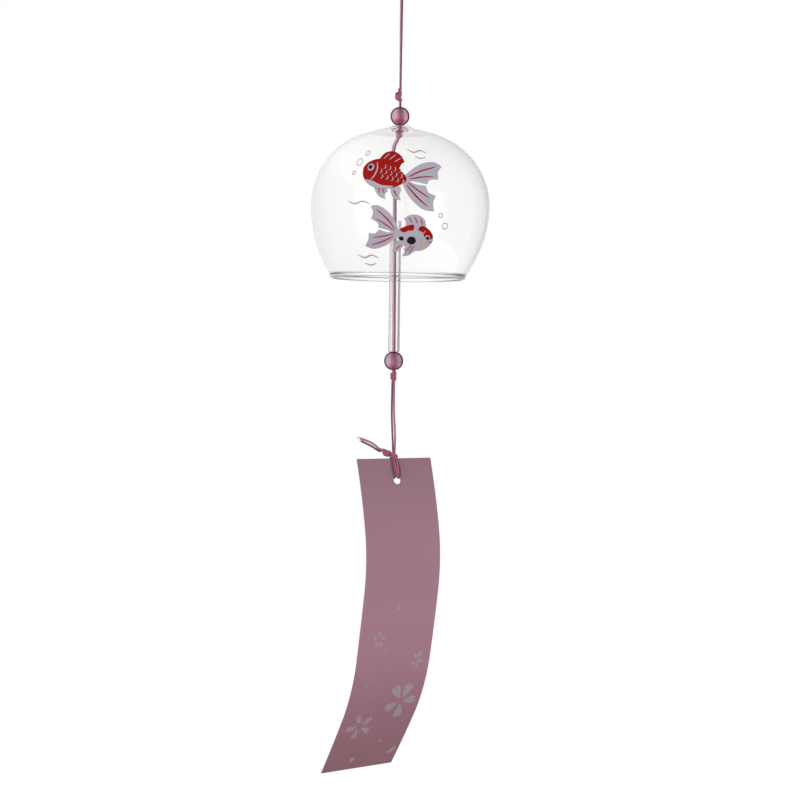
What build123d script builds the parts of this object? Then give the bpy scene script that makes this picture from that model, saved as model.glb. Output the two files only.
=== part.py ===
from build123d import *
import math
import os

# A furin wind bell as it hangs. Lengths are in millimetres and angles in degrees.
# The origin is where the top of the hanging loop rests on its hook. +Z is up,
# +X is to the viewer's right and -Y is towards the viewer.

os.makedirs("parts", exist_ok=True)

# Cord: one thin satin cord, laid double all the way down
cord_diameter = 0.8
strand_clearance = 0.06
running_clearance = 0.3
hinge_clearance = 0.45
loop_height = 14.0
hanging_length = 40.7
slack_over_bead = 2.6
lower_cord_length = 31.2

# Knots
knot_end_diameter = 2.2
loop_knot_height = 4.2
loop_knot_diameter = 3.6
top_knot_height = 5.8
top_knot_diameter = 3.6
stopper_knot_height = 3.6
stopper_knot_diameter = 4.0
lower_knot_height = 4.2
lower_knot_diameter = 3.6
hitch_width = 4.3
hitch_depth = 2.3
hitch_height = 2.3
hitch_rounding = 0.7
tie_lump_length = 4.8
tie_lump_diameter = 3.2
tie_lump_start_x = 1.3
tie_lump_depth = 1.35
tie_lump_rise = 16.0
tie_over_strip = 1.1

# Beads
bead_diameter = 8.3
bead_bore = 2.4

# Bell
bell_radius = 40.0
bell_wall = 1.2
neck_hole = 3.0
dome_radius_share = 0.85
shoulder_radius_share = 1.05
lower_radius_share = 1.35
dome_turn = 70.0
shoulder_slope = 10.5
lower_turn = 29.5
neck_flare_radius = 4.6
neck_round_radius = 12.0
neck_turn = 18.5
skirt_height = 5.18
rim_diameter = 1.9

# Clapper tube
tube_length = 58.0
tube_diameter = 5.0
tube_bore = 3.6
clapper_length = 103.9
clapper_x = -1.2

# Paper strip
strip_width = 40.0
strip_length = 150.0
strip_thickness = 0.35
strip_headings = [15.0, 8.5, -11.0, -13.0, -34.0, -34.5]
strip_turn = 35.7
strip_roll = 1.1
strip_x = -0.53
strip_y = -2.4
strip_hole_diameter = 3.8
strip_hole_depth = 9.8

# Places worked out from the sizes above, from the hook down
strand_pitch = cord_diameter + strand_clearance
loop_knot_bottom = -loop_height - loop_knot_height
top_knot_top = loop_knot_bottom - hanging_length
neck_cord_top = top_knot_top - top_knot_height
top_bead_z = neck_cord_top - slack_over_bead - bead_diameter / 2
seat_depth = math.sqrt((bead_diameter / 2) ** 2 - (neck_hole / 2) ** 2)
neck_z = top_bead_z - seat_depth - running_clearance

dome_radius = bell_radius * dome_radius_share
shoulder_radius = bell_radius * shoulder_radius_share
lower_radius = bell_radius * lower_radius_share
dome_sine = math.sin(math.radians(dome_turn))
slope_cosine = math.cos(math.radians(shoulder_slope))
neck_cosine = math.cos(math.radians(shoulder_slope + neck_turn))
dome_rise = dome_radius * dome_sine
shoulder_rise = shoulder_radius * (slope_cosine - dome_sine)
flare_rise = neck_flare_radius * (slope_cosine - neck_cosine)
round_rise = neck_round_radius * (1 - neck_cosine)
equator_z = neck_z - round_rise - flare_rise - shoulder_rise - dome_rise

stopper_top = neck_z - bell_wall - running_clearance
stopper_bottom = stopper_top - stopper_knot_height
lower_knot_top = stopper_bottom - clapper_length
lower_bead_z = lower_knot_top + running_clearance + bead_diameter / 2
tube_seat = math.sqrt((bead_diameter / 2) ** 2 - (tube_bore / 2) ** 2)
tube_bottom = lower_bead_z + tube_seat + running_clearance
lower_knot_bottom = lower_knot_top - lower_knot_height
hitch_top = lower_knot_bottom - lower_cord_length
strip_top = hitch_top - hitch_height - tie_over_strip

# Routes of the cord, each listed from its upper end as x, y and the drop under that end
hook_route = [
    (0.43, 0.0, 14.0),
    (0.43, 0.0, 12.6),
    (1.10, 0.0, 9.2),
    (1.85, 0.0, 4.6),
    (2.00, 0.0, 0.8),
    (0.83, 0.0, -0.4),
    (-0.83, 0.0, -0.4),
    (-2.00, 0.0, 0.8),
    (-1.85, 0.0, 4.6),
    (-1.10, 0.0, 9.2),
    (-0.43, 0.0, 12.6),
    (-0.43, 0.0, 14.0),
]
hanging_left_route = [
    (-0.43, 0.0, 0.0),
    (-0.53, 0.0, 12.0),
    (-0.48, 0.1, 26.0),
]
hanging_right_route = [
    (0.43, 0.0, 0.0),
    (0.36, 0.0, 13.0),
    (0.40, -0.1, 27.0),
]
inner_left_route = [
    (-0.73, 0.0, 0.0),
    (-0.85, 0.0, 1.2),
    (-2.35, 0.0, 3.4),
    (-2.95, 0.0, 7.2),
    (-2.75, 0.0, 13.6),
    (-1.68, 0.0, 24.0),
]
inner_right_route = [
    (0.13, 0.0, 0.0),
    (0.04, 0.0, 1.4),
    (-1.45, 0.0, 3.8),
    (-2.05, 0.0, 7.6),
    (-1.87, 0.0, 14.0),
    (-0.82, 0.0, 24.4),
]
lower_left_route = [
    (-1.63, 0.0, 0.0),
    (-1.75, -0.2, 7.6),
    (-1.72, -0.8, 15.4),
    (-1.30, -1.8, 23.4),
    (-0.96, -2.4, 29.4),
]
lower_right_route = [
    (-0.77, 0.0, 0.0),
    (-0.88, -0.2, 8.2),
    (-0.45, -0.9, 16.6),
    (0.20, -1.8, 24.2),
    (-0.10, -2.4, 29.6),
]
upper_tail_route = [
    (0.0, 0.0, 0.0),
    (-1.2, 0.0, 0.344),
    (-2.9, -0.1, 2.0),
    (-6.0, -0.4, 3.7),
    (-9.6, -0.6, 4.7),
]
lower_tail_route = [
    (0.0, 0.0, 0.0),
    (-1.2, 0.0, 0.344),
    (-3.9, 0.2, 2.0),
    (-8.4, 0.5, 3.8),
]

# The strip's loop, in the strip's own frame: a share of the way across, behind it and up from its top
loop_across_top = [-1.60, -0.74, 0.74, 1.60]
loop_across_hole = [-1.20, -0.42, 0.42, 1.20]
loop_low = [0.55, 0.0, 0.0, 0.55]
loop_front_route = [
    (0.0, -0.72, 1.04),
    (0.0, -0.75, 0.0),
    (0.3, -1.35, -2.0),
    (0.7, -2.50, -5.0),
    (1.0, -2.95, -7.9),
]
loop_back_route = [
    (1.0, -1.15, -8.35),
    (0.7, -0.15, -4.8),
    (0.3, 0.62, -1.8),
    (0.0, 0.72, 0.0),
    (0.0, 0.70, 1.04),
]


def bend_radii(points):
    """The radius at each corner: 0.45 of the shorter run over the tangent of half the turn."""
    radii = []
    for before, corner, after in zip(points, points[1:], points[2:]):
        arriving = Vector(corner) - Vector(before)
        leaving = Vector(after) - Vector(corner)
        half_turn = math.radians(arriving.get_angle(leaving)) / 2
        shorter = min(arriving.length, leaving.length)
        radii.append(0.45 * shorter / math.tan(half_turn))
    return radii


def strand(name, points):
    """A round strand of cord along straight runs joined by tangent arcs."""
    radii = bend_radii(points)
    path = FilletPolyline(*points, radius=radii) if radii else Line(*points)
    section = Plane(origin=path @ 0, z_dir=path % 0) * Circle(cord_diameter / 2)
    solid = sweep(section, path=path)
    fullness = solid.volume / (section.area * path.length)
    rounded = [round(radius, 1) for radius in radii]
    print(f"{name}: {path.length:.1f} long, {fullness:.4f} of its expected volume, radii {rounded}")
    return solid


def hung(route, top, end=None):
    """A route's points in the bell's frame, with its lower end added where one is given."""
    points = [(x, y, top - drop) for x, y, drop in route]
    return points + [end] if end else points


def knot(height, diameter, top):
    """An egg-shaped knot with flat ends, which the strands meet face to face."""
    end_angle = math.degrees(math.acos(knot_end_diameter / diameter))
    swell = height / 2 / math.sin(math.radians(end_angle))
    middle = top - height / 2
    side = EllipticalCenterArc((0, middle), diameter / 2, swell, -end_angle, arc_size=2 * end_angle)
    lower, upper = Vector(0, middle - height / 2), Vector(0, middle + height / 2)
    outline = [side, Line(side @ 0, lower), Line(lower, upper), Line(upper, side @ 1)]
    return revolve(Plane.XZ * make_face(outline), Axis.Z)


def bead(z):
    """A round glass bead with its bore."""
    return Pos(0, 0, z) * (Sphere(bead_diameter / 2) - Cylinder(bead_bore / 2, bead_diameter))


# Hanging loop and the cord down to the stopper knot
def hanging_cord(name, route, side):
    end = (side * strand_pitch / 2, 0, top_knot_top)
    return strand(name, hung(route, loop_knot_bottom - hinge_clearance, end))


def neck_cord(name, side):
    x = side * strand_pitch / 2
    return strand(name, [(x, 0, neck_cord_top), (x, 0, stopper_top)])


# Glass bell
def wall_line(depth):
    """The bell's wall line at a depth under its outer face, from the skirt's end to the neck's flat."""
    equator = (bell_radius - depth, equator_z)
    lower = JernArc(equator, (0, -1), lower_radius - depth, -lower_turn)
    skirt_run = skirt_height / math.cos(math.radians(lower_turn))
    skirt = Line(lower @ 1, lower @ 1 + (lower % 1) * skirt_run)
    dome = JernArc(equator, (0, 1), dome_radius - depth, dome_turn)
    shoulder_turn = 90 - dome_turn - shoulder_slope
    shoulder = JernArc(dome @ 1, dome % 1, shoulder_radius - depth, shoulder_turn)
    flare = JernArc(shoulder @ 1, shoulder % 1, neck_flare_radius + depth, -neck_turn)
    round_turn = neck_turn + shoulder_slope
    rounding = JernArc(flare @ 1, flare % 1, neck_round_radius - depth, round_turn)
    flat = Line(rounding @ 1, Vector(neck_hole / 2, (rounding @ 1).Y))
    return [skirt, lower, dome, shoulder, flare, rounding, flat]


def glass_bell():
    outer = wall_line(0)
    inner = wall_line(bell_wall)
    hole_side = Line(outer[-1] @ 1, inner[-1] @ 1)
    skirt_end = Line(outer[0] @ 1, inner[0] @ 1)
    shell = make_face(outer + inner + [hole_side, skirt_end])
    rim = Pos(*(skirt_end @ 0.5)) * Circle(rim_diameter / 2)
    return revolve(Plane.XZ * (shell + rim), Axis.Z)


# Clapper
def inner_cord(name, route, side):
    end = (clapper_x + side * strand_pitch / 2, 0, lower_knot_top)
    return strand(name, hung(route, stopper_bottom - hinge_clearance, end))


def clapper_tube():
    wall = Circle(tube_diameter / 2) - Circle(tube_bore / 2)
    return Pos(clapper_x, 0, tube_bottom) * extrude(wall, tube_length)


# Tie between the lower cord and the strip
def lower_cord(name, route, side):
    end = (strip_x + side * strand_pitch / 2, strip_y, hitch_top)
    return strand(name, hung(route, lower_knot_bottom - hinge_clearance, end))


def tie_knot():
    """The hitch over the strip's edge, and the knot beside it that the tails leave."""
    hitch = Box(hitch_width, hitch_depth, hitch_height)
    hitch = fillet(hitch.edges().filter_by(Axis.Z), hitch_rounding)
    hitch_place = Pos(strip_x, strip_y, hitch_top - hitch_height / 2) * Rot(0, 0, strip_turn)
    lump = Rot(0, -90, 0) * knot(tie_lump_length, tie_lump_diameter, tie_lump_length)
    return (hitch_place * hitch).fuse(lump_place() * lump).clean()


def lump_place():
    start = Pos(strip_x - tie_lump_start_x, strip_y, hitch_top - tie_lump_depth)
    return start * Rot(0, tie_lump_rise, 0)


def tail(name, route, side):
    """A cut end of the cord, from the flat end of the lump."""
    seat = lump_place() * Pos(-tie_lump_length, 0, side * strand_pitch / 2)
    points = [seat.position + Vector(x, y, rise) for x, y, rise in route]
    return strand(name, points)


def strip_place():
    return Pos(strip_x, strip_y, strip_top) * Rot(0, -strip_roll, strip_turn)


def strip_loop(name, number):
    """One strand through the strip's hole and back over its top edge to the hitch."""
    top, hole, low = loop_across_top[number], loop_across_hole[number], loop_low[number]
    route = loop_front_route + loop_back_route
    points = [(top + (hole - top) * share, y, z - low * share) for share, y, z in route]
    placed = [(strip_place() * Pos(*point)).position for point in points]
    return strand(name, placed)


# Paper strip
def paper_strip():
    """The curled strip: arcs of even length between its headings, then the punched hole."""
    run = strip_length / (len(strip_headings) - 1)
    end = Vector(0, 0)
    arcs = []
    for heading, following in zip(strip_headings, strip_headings[1:]):
        turn = heading - following
        angle = math.radians(heading)
        along = Vector(-math.sin(angle), -math.cos(angle))
        arcs.append(JernArc(end, along, run / math.radians(abs(turn)), turn))
        end = arcs[-1] @ 1
    profile = Plane.YZ * trace(Wire(arcs), strip_thickness)
    sheet = extrude(profile, strip_width / 2, both=True)
    hole_angle = math.radians(strip_headings[0])
    hole_y = -strip_hole_depth * math.sin(hole_angle)
    hole_z = -strip_hole_depth * math.cos(hole_angle)
    punch = Cylinder(strip_hole_diameter / 2, strip_width, rotation=(90, 0, 0))
    return strip_place() * (sheet - Pos(0, hole_y, hole_z) * punch)


parts = {
    "hanging_loop": strand("hanging_loop", hung(hook_route, 0)),
    "loop_knot": knot(loop_knot_height, loop_knot_diameter, -loop_height),
    "hanging_cord_left": hanging_cord("hanging_cord_left", hanging_left_route, -1),
    "hanging_cord_right": hanging_cord("hanging_cord_right", hanging_right_route, 1),
    "top_knot": knot(top_knot_height, top_knot_diameter, top_knot_top),
    "neck_cord_left": neck_cord("neck_cord_left", -1),
    "neck_cord_right": neck_cord("neck_cord_right", 1),
    "top_bead": bead(top_bead_z),
    "glass_bell": glass_bell(),
    "stopper_knot": knot(stopper_knot_height, stopper_knot_diameter, stopper_top),
    "inner_cord_left": inner_cord("inner_cord_left", inner_left_route, -1),
    "inner_cord_right": inner_cord("inner_cord_right", inner_right_route, 1),
    "clapper_tube": clapper_tube(),
    "lower_bead": Pos(clapper_x, 0, 0) * bead(lower_bead_z),
    "lower_knot": Pos(clapper_x, 0, 0) * knot(lower_knot_height, lower_knot_diameter, lower_knot_top),
    "lower_cord_left": lower_cord("lower_cord_left", lower_left_route, -1),
    "lower_cord_right": lower_cord("lower_cord_right", lower_right_route, 1),
    "tie_knot": tie_knot(),
    "cord_tail_upper": tail("cord_tail_upper", upper_tail_route, 1),
    "cord_tail_lower": tail("cord_tail_lower", lower_tail_route, -1),
    "strip_loop_1": strip_loop("strip_loop_1", 0),
    "strip_loop_2": strip_loop("strip_loop_2", 1),
    "strip_loop_3": strip_loop("strip_loop_3", 2),
    "strip_loop_4": strip_loop("strip_loop_4", 3),
    "paper_strip": paper_strip(),
}

for name, part in parts.items():
    low, high = part.bounding_box().min, part.bounding_box().max
    print(f"{name}: from {low.X:.2f}, {low.Y:.2f}, {low.Z:.2f} to {high.X:.2f}, {high.Y:.2f}, {high.Z:.2f}")
    export_step(part, f"parts/{name}.step")
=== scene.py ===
# %% [markdown]
# # A furin, the glass wind bell of Japanese summers
# The wind takes the paper strip, the strip pulls its cord, and a glass tube on that cord
# strikes the bell's rim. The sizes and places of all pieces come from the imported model.
# This lesson dresses them: it gives each piece its fine shape and its finish.

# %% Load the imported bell
import math

import bmesh
import bpy
from mathutils import Matrix, Vector
from mathutils.geometry import tessellate_polygon


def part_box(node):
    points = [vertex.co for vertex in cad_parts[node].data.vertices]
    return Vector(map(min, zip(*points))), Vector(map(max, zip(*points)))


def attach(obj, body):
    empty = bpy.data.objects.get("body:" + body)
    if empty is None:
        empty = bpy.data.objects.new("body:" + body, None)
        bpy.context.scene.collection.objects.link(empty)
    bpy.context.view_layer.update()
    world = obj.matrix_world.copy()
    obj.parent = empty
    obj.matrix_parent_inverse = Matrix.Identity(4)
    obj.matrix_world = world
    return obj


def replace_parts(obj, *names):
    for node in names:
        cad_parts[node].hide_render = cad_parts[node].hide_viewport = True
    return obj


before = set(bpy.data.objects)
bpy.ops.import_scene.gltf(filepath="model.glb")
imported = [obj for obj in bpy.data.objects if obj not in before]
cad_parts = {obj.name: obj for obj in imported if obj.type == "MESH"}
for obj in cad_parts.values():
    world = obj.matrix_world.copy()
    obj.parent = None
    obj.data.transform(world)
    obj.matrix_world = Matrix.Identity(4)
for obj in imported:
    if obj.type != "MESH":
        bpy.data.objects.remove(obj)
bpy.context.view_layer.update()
MM = 0.001
print("pieces in the packed bell:", len(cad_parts))


def top_of(node):
    """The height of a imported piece's upper end."""
    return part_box(node)[1][2]


def foot_of(node):
    """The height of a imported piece's lower end."""
    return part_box(node)[0][2]


# %% [markdown]
# ## Camera
# The photograph was taken level with the middle of the bell, from well over a metre away,
# with the camera turned by less than a degree. A long lens from the same distance keeps
# the same slight perspective in the rim and in the curled strip.

# %% Set up the camera
PIXEL = 0.4444 * MM
LENS_PIXELS, FRAME_PIXELS = 2790, 800
VIEW_ROLL = math.radians(0.85)
VIEW_X, VIEW_Z = 1.87 * MM, -197.5 * MM
camera_data = bpy.data.cameras.new("camera")
camera_data.sensor_width = 36
camera_data.lens = camera_data.sensor_width * LENS_PIXELS / FRAME_PIXELS
camera_data.dof.use_dof = False
camera = bpy.data.objects.new("camera", camera_data)
view_right = Vector((math.cos(VIEW_ROLL), 0, math.sin(VIEW_ROLL)))
view_up = Vector((-math.sin(VIEW_ROLL), 0, math.cos(VIEW_ROLL)))
view_turn = Matrix((view_right, view_up, view_right.cross(view_up))).transposed()
view_place = Matrix.Translation((VIEW_X, -LENS_PIXELS * PIXEL, VIEW_Z))
camera.matrix_world = view_place @ view_turn.to_4x4()
bpy.context.scene.collection.objects.link(camera)
bpy.context.scene.camera = camera
print("lens:", round(camera_data.lens, 1), "mm")

# %% [markdown]
# ## Sums in the shader
# A procedural finish is mostly sums on positions. Written as nodes they are hard to read,
# so a small class wraps a socket, and each operator on it adds one Math node. Everything
# else, from a noise to the glass shader, comes from one method that adds any node.


# %% A socket that can be added and multiplied
class Value:
    def __init__(self, finish, socket):
        self.finish, self.socket = finish, socket

    def maths(self, operation, *values):
        return self.finish.add("Math", {"operation": operation}, dict(enumerate(values)), 0)

    def __add__(self, other):
        return self.maths("ADD", self, other)

    def __sub__(self, other):
        return self.maths("SUBTRACT", self, other)

    def __rsub__(self, other):
        return self.maths("SUBTRACT", other, self)

    def __mul__(self, other):
        return self.maths("MULTIPLY", self, other)

    def __pow__(self, other):
        return self.maths("POWER", self, other)

    __radd__ = __add__
    __rmul__ = __mul__

    def sine(self):
        return self.maths("SINE", self)

    def absolute(self):
        return self.maths("ABSOLUTE", self)

    def whole(self):
        """The whole number under it."""
        return self.maths("FLOOR", self)

    def part_over_whole(self):
        """What is left over that whole number."""
        return self.maths("FRACT", self)

    def over(self, other):
        """The larger of the two."""
        return self.maths("MAXIMUM", self, other)

    def under(self, other):
        """The smaller of the two."""
        return self.maths("MINIMUM", self, other)


# %% A finish, and the one method that adds a node to it
class Finish:
    def __init__(self, name, tree=None):
        if tree is None:
            self.material = bpy.data.materials.new(name)
            self.material.use_nodes = True
            tree = self.material.node_tree
        self.tree = tree
        self.tree.nodes.clear()

    def add(self, kind, settings=None, sockets=None, out=None):
        """A node with its settings, the values or links of its sockets, and its output."""
        node = self.tree.nodes.new("ShaderNode" + kind)
        for name, setting in (settings or {}).items():
            if name == "stops":
                self.set_stops(node.color_ramp, setting)
            else:
                setattr(node, name, setting)
        for name, value in (sockets or {}).items():
            if isinstance(value, Value):
                self.tree.links.new(value.socket, node.inputs[name])
            else:
                node.inputs[name].default_value = value
        return None if out is None else Value(self, node.outputs[out])

    def set_stops(self, ramp, stops):
        while len(ramp.elements) < len(stops):
            ramp.elements.new(0.5)
        for element, (place, colour) in zip(ramp.elements, stops):
            element.position = place
            element.color = (*colour, 1)

    def ramp(self, factor, stops):
        return self.add("ValToRGB", {"stops": stops}, {"Fac": factor}, "Color")

    def mix(self, share, first, second):
        """A colour between two others."""
        first = first if isinstance(first, Value) else (*first, 1)
        second = second if isinstance(second, Value) else (*second, 1)
        return self.add("Mix", {"data_type": "RGBA"}, {0: share, 6: first, 7: second}, 2)

    def place(self, kind="Object"):
        """Where a point of the surface lies, or another of its coordinates."""
        return self.add("TexCoord", {}, {}, kind)

    def axis(self, where, letter):
        return self.add("SeparateXYZ", {}, {"Vector": where}, letter)

    def stretched(self, where, share):
        """The same place with its heights made smaller, so that a noise on it runs upright."""
        return self.add("Mapping", {}, {"Vector": where, "Scale": (1.0, 1.0, share)}, 0)

    def towards(self, where, way):
        """How far a direction points the same way as another one."""
        settings = {"operation": "DOT_PRODUCT"}
        return self.add("VectorMath", settings, {0: where, 1: way}, "Value")

    def step(self, value, start, end, low=0.0, high=1.0, kind="SMOOTHSTEP"):
        """low until the value is at start, high from end on, and a soft step between."""
        sockets = {"Value": value, "From Min": start, "From Max": end}
        sockets.update({"To Min": low, "To Max": high})
        return self.add("MapRange", {"interpolation_type": kind}, sockets, 0)

    def slope(self, value, start, end, low=0.0, high=1.0):
        """The same with a straight slope."""
        return self.step(value, start, end, low, high, "LINEAR")

    def facing(self):
        """0 where a surface faces the eye, and 1 at its outline."""
        return self.add("LayerWeight", {}, {"Blend": 0.5}, "Facing")

    def ray(self, kind):
        """1 where the light path is of this kind, and 0 elsewhere."""
        return self.add("LightPath", {}, {}, kind)

    def blend(self, share, first, second):
        """A shader between two others."""
        return self.add("MixShader", {}, {0: share, 1: first, 2: second}, "Shader")

    def principled(self, sockets):
        return self.add("BsdfPrincipled", {}, sockets, "BSDF")

    def transparent(self, *colour):
        return self.add("BsdfTransparent", {}, {"Color": (*colour, 1)}, "BSDF")

    def background(self, colour, strength=1.0):
        sockets = {"Color": colour, "Strength": strength}
        return self.add("Background", {}, sockets, "Background")

    def noise(self, where, scale, detail=3.0, roughness=0.5):
        sockets = {"Vector": where, "Scale": scale, "Detail": detail, "Roughness": roughness}
        return self.add("TexNoise", {}, sockets, "Fac")

    def bump(self, height, distance, strength=1.0):
        sockets = {"Height": height, "Distance": distance, "Strength": strength}
        return self.add("Bump", {}, sockets, "Normal")

    def show(self, shader):
        self.add("OutputMaterial", {}, {"Surface": shader})
        print("finish:", self.material.name)
        return self.material


def srgb(red, green, blue):
    """A colour as a picture states it, 0 to 255, as the light that a shader counts in."""
    shares = [c / 255 for c in (red, green, blue)]
    return tuple(c / 12.92 if c <= 0.04045 else ((c + 0.055) / 1.055) ** 2.4 for c in shares)


# %% [markdown]
# ## The braided satin cord
# The bell hangs on one thin braided cord, laid double all the way down. Its surface is
# rows of short slanting stitches. A plain tube with a bump map would look like wire, so
# the stitches are in the mesh, and the finish paints shade into the grooves between them
# with the same sum. The weave is laid out by the UV map: around the cord, and along it in mm.
# Satin shines along its threads, so a strand that lies the other way round looks deeper.
# The cord is one colour, and its four finishes are lit and shaded copies of it: one pale,
# and three with painted shade in their colours, for the strand beside the pale one, the
# strands over the strip, and the knots, where the cord is wound tight.

# %% The cord's finish
STITCH_ROWS = 6
STITCH_LENGTH = 0.9
STITCH_SLANT = 0.35
STITCH_RISE, STITCH_ROUNDING, ROW_CROWN = 0.45, 0.7, 0.8


def cord_finish(name, light, groove_shade):
    finish = Finish(name)
    where = finish.place("UV")
    along = finish.axis(where, "Y")
    row = finish.axis(where, "X") * STITCH_ROWS
    side = row.part_over_whole() * 2 - 1
    leaning = (row.whole() * 0.5).part_over_whole() * 4 - 1
    stitch = (along * (1 / STITCH_LENGTH) + leaning * side * STITCH_SLANT) * math.pi
    swell = stitch.sine().absolute() ** STITCH_ROUNDING * STITCH_RISE + (1 - STITCH_RISE)
    height = (1 - side * side * ROW_CROWN) ** 0.5 * swell
    fibres = finish.noise(where, 60.0, 2.0)
    # Painted shade: the grooves between the stitches darken with the weave's height.
    colour = finish.mix(height ** 1.5, groove_shade, light)
    colour = finish.mix(fibres * 0.35, colour, srgb(214, 168, 188))
    sockets = {
        "Base Color": colour,
        "Roughness": fibres * 0.2 + 0.38,
        "Specular IOR Level": 0.5,
        "Sheen Weight": 0.25,
        "Sheen Roughness": 0.4,
        "Sheen Tint": (1.0, 0.85, 0.92, 1.0),
        "Normal": finish.bump(fibres, 0.02 * MM, 0.4),
    }
    return finish.show(finish.principled(sockets))


pink_cord = cord_finish("pink_satin_cord", srgb(242, 186, 210), srgb(156, 80, 112))
# The three finishes below are the same cord with painted shade in their colours.
shaded_strand_cord = cord_finish("painted_shade_satin_cord", srgb(114, 42, 74), srgb(42, 8, 28))
knot_shade_cord = cord_finish("knot_shade_satin_cord", srgb(196, 86, 132), srgb(64, 6, 32))
strip_shade_cord = cord_finish("strip_shade_satin_cord", srgb(216, 112, 158), srgb(104, 30, 62))

# %% [markdown]
# ## One smooth line for each stretch of cord
# A cord under tension runs in long soft curves. Each stretch has a few listed route points,
# near those of the imported model, and a NURBS spline draws the line between them.
# The mesh follows points read from that spline, evenly spaced, so the stitches stay regular.

# %% Lines and frames along them
CORD_RADIUS = 0.43 * MM
LOOSE_RADIUS, TAIL_RADIUS = 0.46 * MM, 0.5 * MM
RING_STEP = 0.15 * MM
RING_POINTS = 24


def smooth_line(name, points):
    """The points of a NURBS spline through a route, as Blender itself evaluates it."""
    curve = bpy.data.curves.new(name + "_route", "CURVE")
    curve.dimensions = "3D"
    spline = curve.splines.new("NURBS")
    spline.points.add(len(points) - 1)
    for point, place in zip(spline.points, points):
        point.co = (*place, 1)
    spline.order_u = 3
    spline.use_endpoint_u = True
    spline.resolution_u = 16
    holder = bpy.data.objects.new(name + "_route", curve)
    mesh = bpy.data.meshes.new_from_object(holder)
    line = [vertex.co.copy() for vertex in mesh.vertices]
    bpy.data.objects.remove(holder)
    bpy.data.curves.remove(curve)
    bpy.data.meshes.remove(mesh)
    return line


def even_line(line):
    """The same line with its points one ring step apart."""
    runs = [(b - a).length for a, b in zip(line, line[1:])]
    count = max(4, round(sum(runs) / RING_STEP))
    stride = sum(runs) / count
    spaced, index, gone = [line[0].copy()], 0, 0.0
    for number in range(1, count):
        goal = number * stride
        while index < len(runs) - 1 and gone + runs[index] < goal:
            gone += runs[index]
            index += 1
        share = (goal - gone) / runs[index] if runs[index] else 0
        spaced.append(line[index].lerp(line[index + 1], share))
    return spaced + [line[-1].copy()]


def frames_along(line):
    """A direction and two square ones at each point, turned as little as possible on the way."""
    ways = [(after - before).normalized() for before, after in zip(line, line[1:])]
    ways = [ways[0]] + [(a + b).normalized() for a, b in zip(ways, ways[1:])] + [ways[-1]]
    side = ways[0].orthogonal().normalized()
    frames = []
    for way in ways:
        side = (side - way * side.dot(way)).normalized()
        frames.append((way, side, way.cross(side)))
    return frames


def add_piece(name, mesh, finish, body):
    """A new piece that rides on a body and takes the finish it is given."""
    mesh.polygons.foreach_set("use_smooth", [True] * len(mesh.polygons))
    mesh.materials.append(finish)
    piece = bpy.data.objects.new(name, mesh)
    bpy.context.scene.collection.objects.link(piece)
    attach(piece, body)
    return piece


def add_mesh(name, vertices, faces, finish, body, uvs=None):
    mesh = bpy.data.meshes.new(name)
    mesh.from_pydata([tuple(v) for v in vertices], [], faces)
    mesh.update()
    if uvs:
        layer = mesh.uv_layers.new(name="weave")
        flat = [value for face in uvs for pair in face for value in pair]
        layer.data.foreach_set("uv", flat)
    return add_piece(name, mesh, finish, body)


# %% The weave's height
def stitch_height(turn, along):
    """How far the weave stands out, from 0 to 1: the same sum as in the finish."""
    row = turn * STITCH_ROWS
    side = (row - math.floor(row)) * 2 - 1
    leaning = 1 if math.floor(row) % 2 else -1
    stitch = (along / STITCH_LENGTH + leaning * side * STITCH_SLANT) * math.pi
    swell = abs(math.sin(stitch)) ** STITCH_ROUNDING * STITCH_RISE + (1 - STITCH_RISE)
    return math.sqrt(1 - side * side * ROW_CROWN) * swell


# %% A braided tube along a line
GROOVE_REACH = 0.84
END_REACH = 0.9


def braid_parts(line, radius):
    """Vertices, faces and weave coordinates of one braided tube with rounded ends."""
    line = even_line(line)
    vertices, faces, uvs, along = [], [], [], 0.0
    for number, (point, (way, side, across)) in enumerate(zip(line, frames_along(line))):
        along += (point - line[number - 1]).length / MM if number else 0.0
        size = radius * (END_REACH if number in (0, len(line) - 1) else 1)
        for index in range(RING_POINTS):
            turn = index / RING_POINTS
            angle = turn * math.tau
            reach = size * (GROOVE_REACH + (1 - GROOVE_REACH) * stitch_height(turn, along))
            vertices.append(point + (side * math.cos(angle) + across * math.sin(angle)) * reach)
        if number:
            base = (number - 1) * RING_POINTS
            before = along - (point - line[number - 1]).length / MM
            for index in range(RING_POINTS):
                after = (index + 1) % RING_POINTS
                faces.append((base + index, base + after, base + RING_POINTS + after,
                              base + RING_POINTS + index))
                low, high = index / RING_POINTS, (index + 1) / RING_POINTS
                uvs.append(((low, before), (high, before), (high, along), (low, along)))
    for start, flip in ((0, True), (len(vertices) - RING_POINTS, False)):
        ring = [start + index for index in range(RING_POINTS)]
        faces.append(tuple(reversed(ring)) if flip else tuple(ring))
        uvs.append(tuple((0.0, 0.0) for _ in ring))
    return vertices, faces, uvs


def braided(name, lines, body, finish, radius=CORD_RADIUS):
    """One piece made of one or more braided tubes."""
    vertices, faces, uvs = [], [], []
    for line in lines:
        more, sides, weave = braid_parts(line, radius)
        base = len(vertices)
        vertices += more
        faces += [tuple(base + corner for corner in face) for face in sides]
        uvs += weave
    return add_mesh(name, vertices, faces, finish, body, uvs)


# %% [markdown]
# ## The stretches of cord
# From the hook down: the loop, the doubled cord to the knot over the bead, the two strands
# inside the bell, and the two strands over the strip. The routes list how far each point
# lies to the right, how far back, and how far down from the stretch's upper end, in mm.

# %% Routes of the hanging stretches
STRAND_PITCH = 0.86
CLAPPER_X = -1.2
STRIP_X, STRIP_Y = -0.53, -2.4

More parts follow.
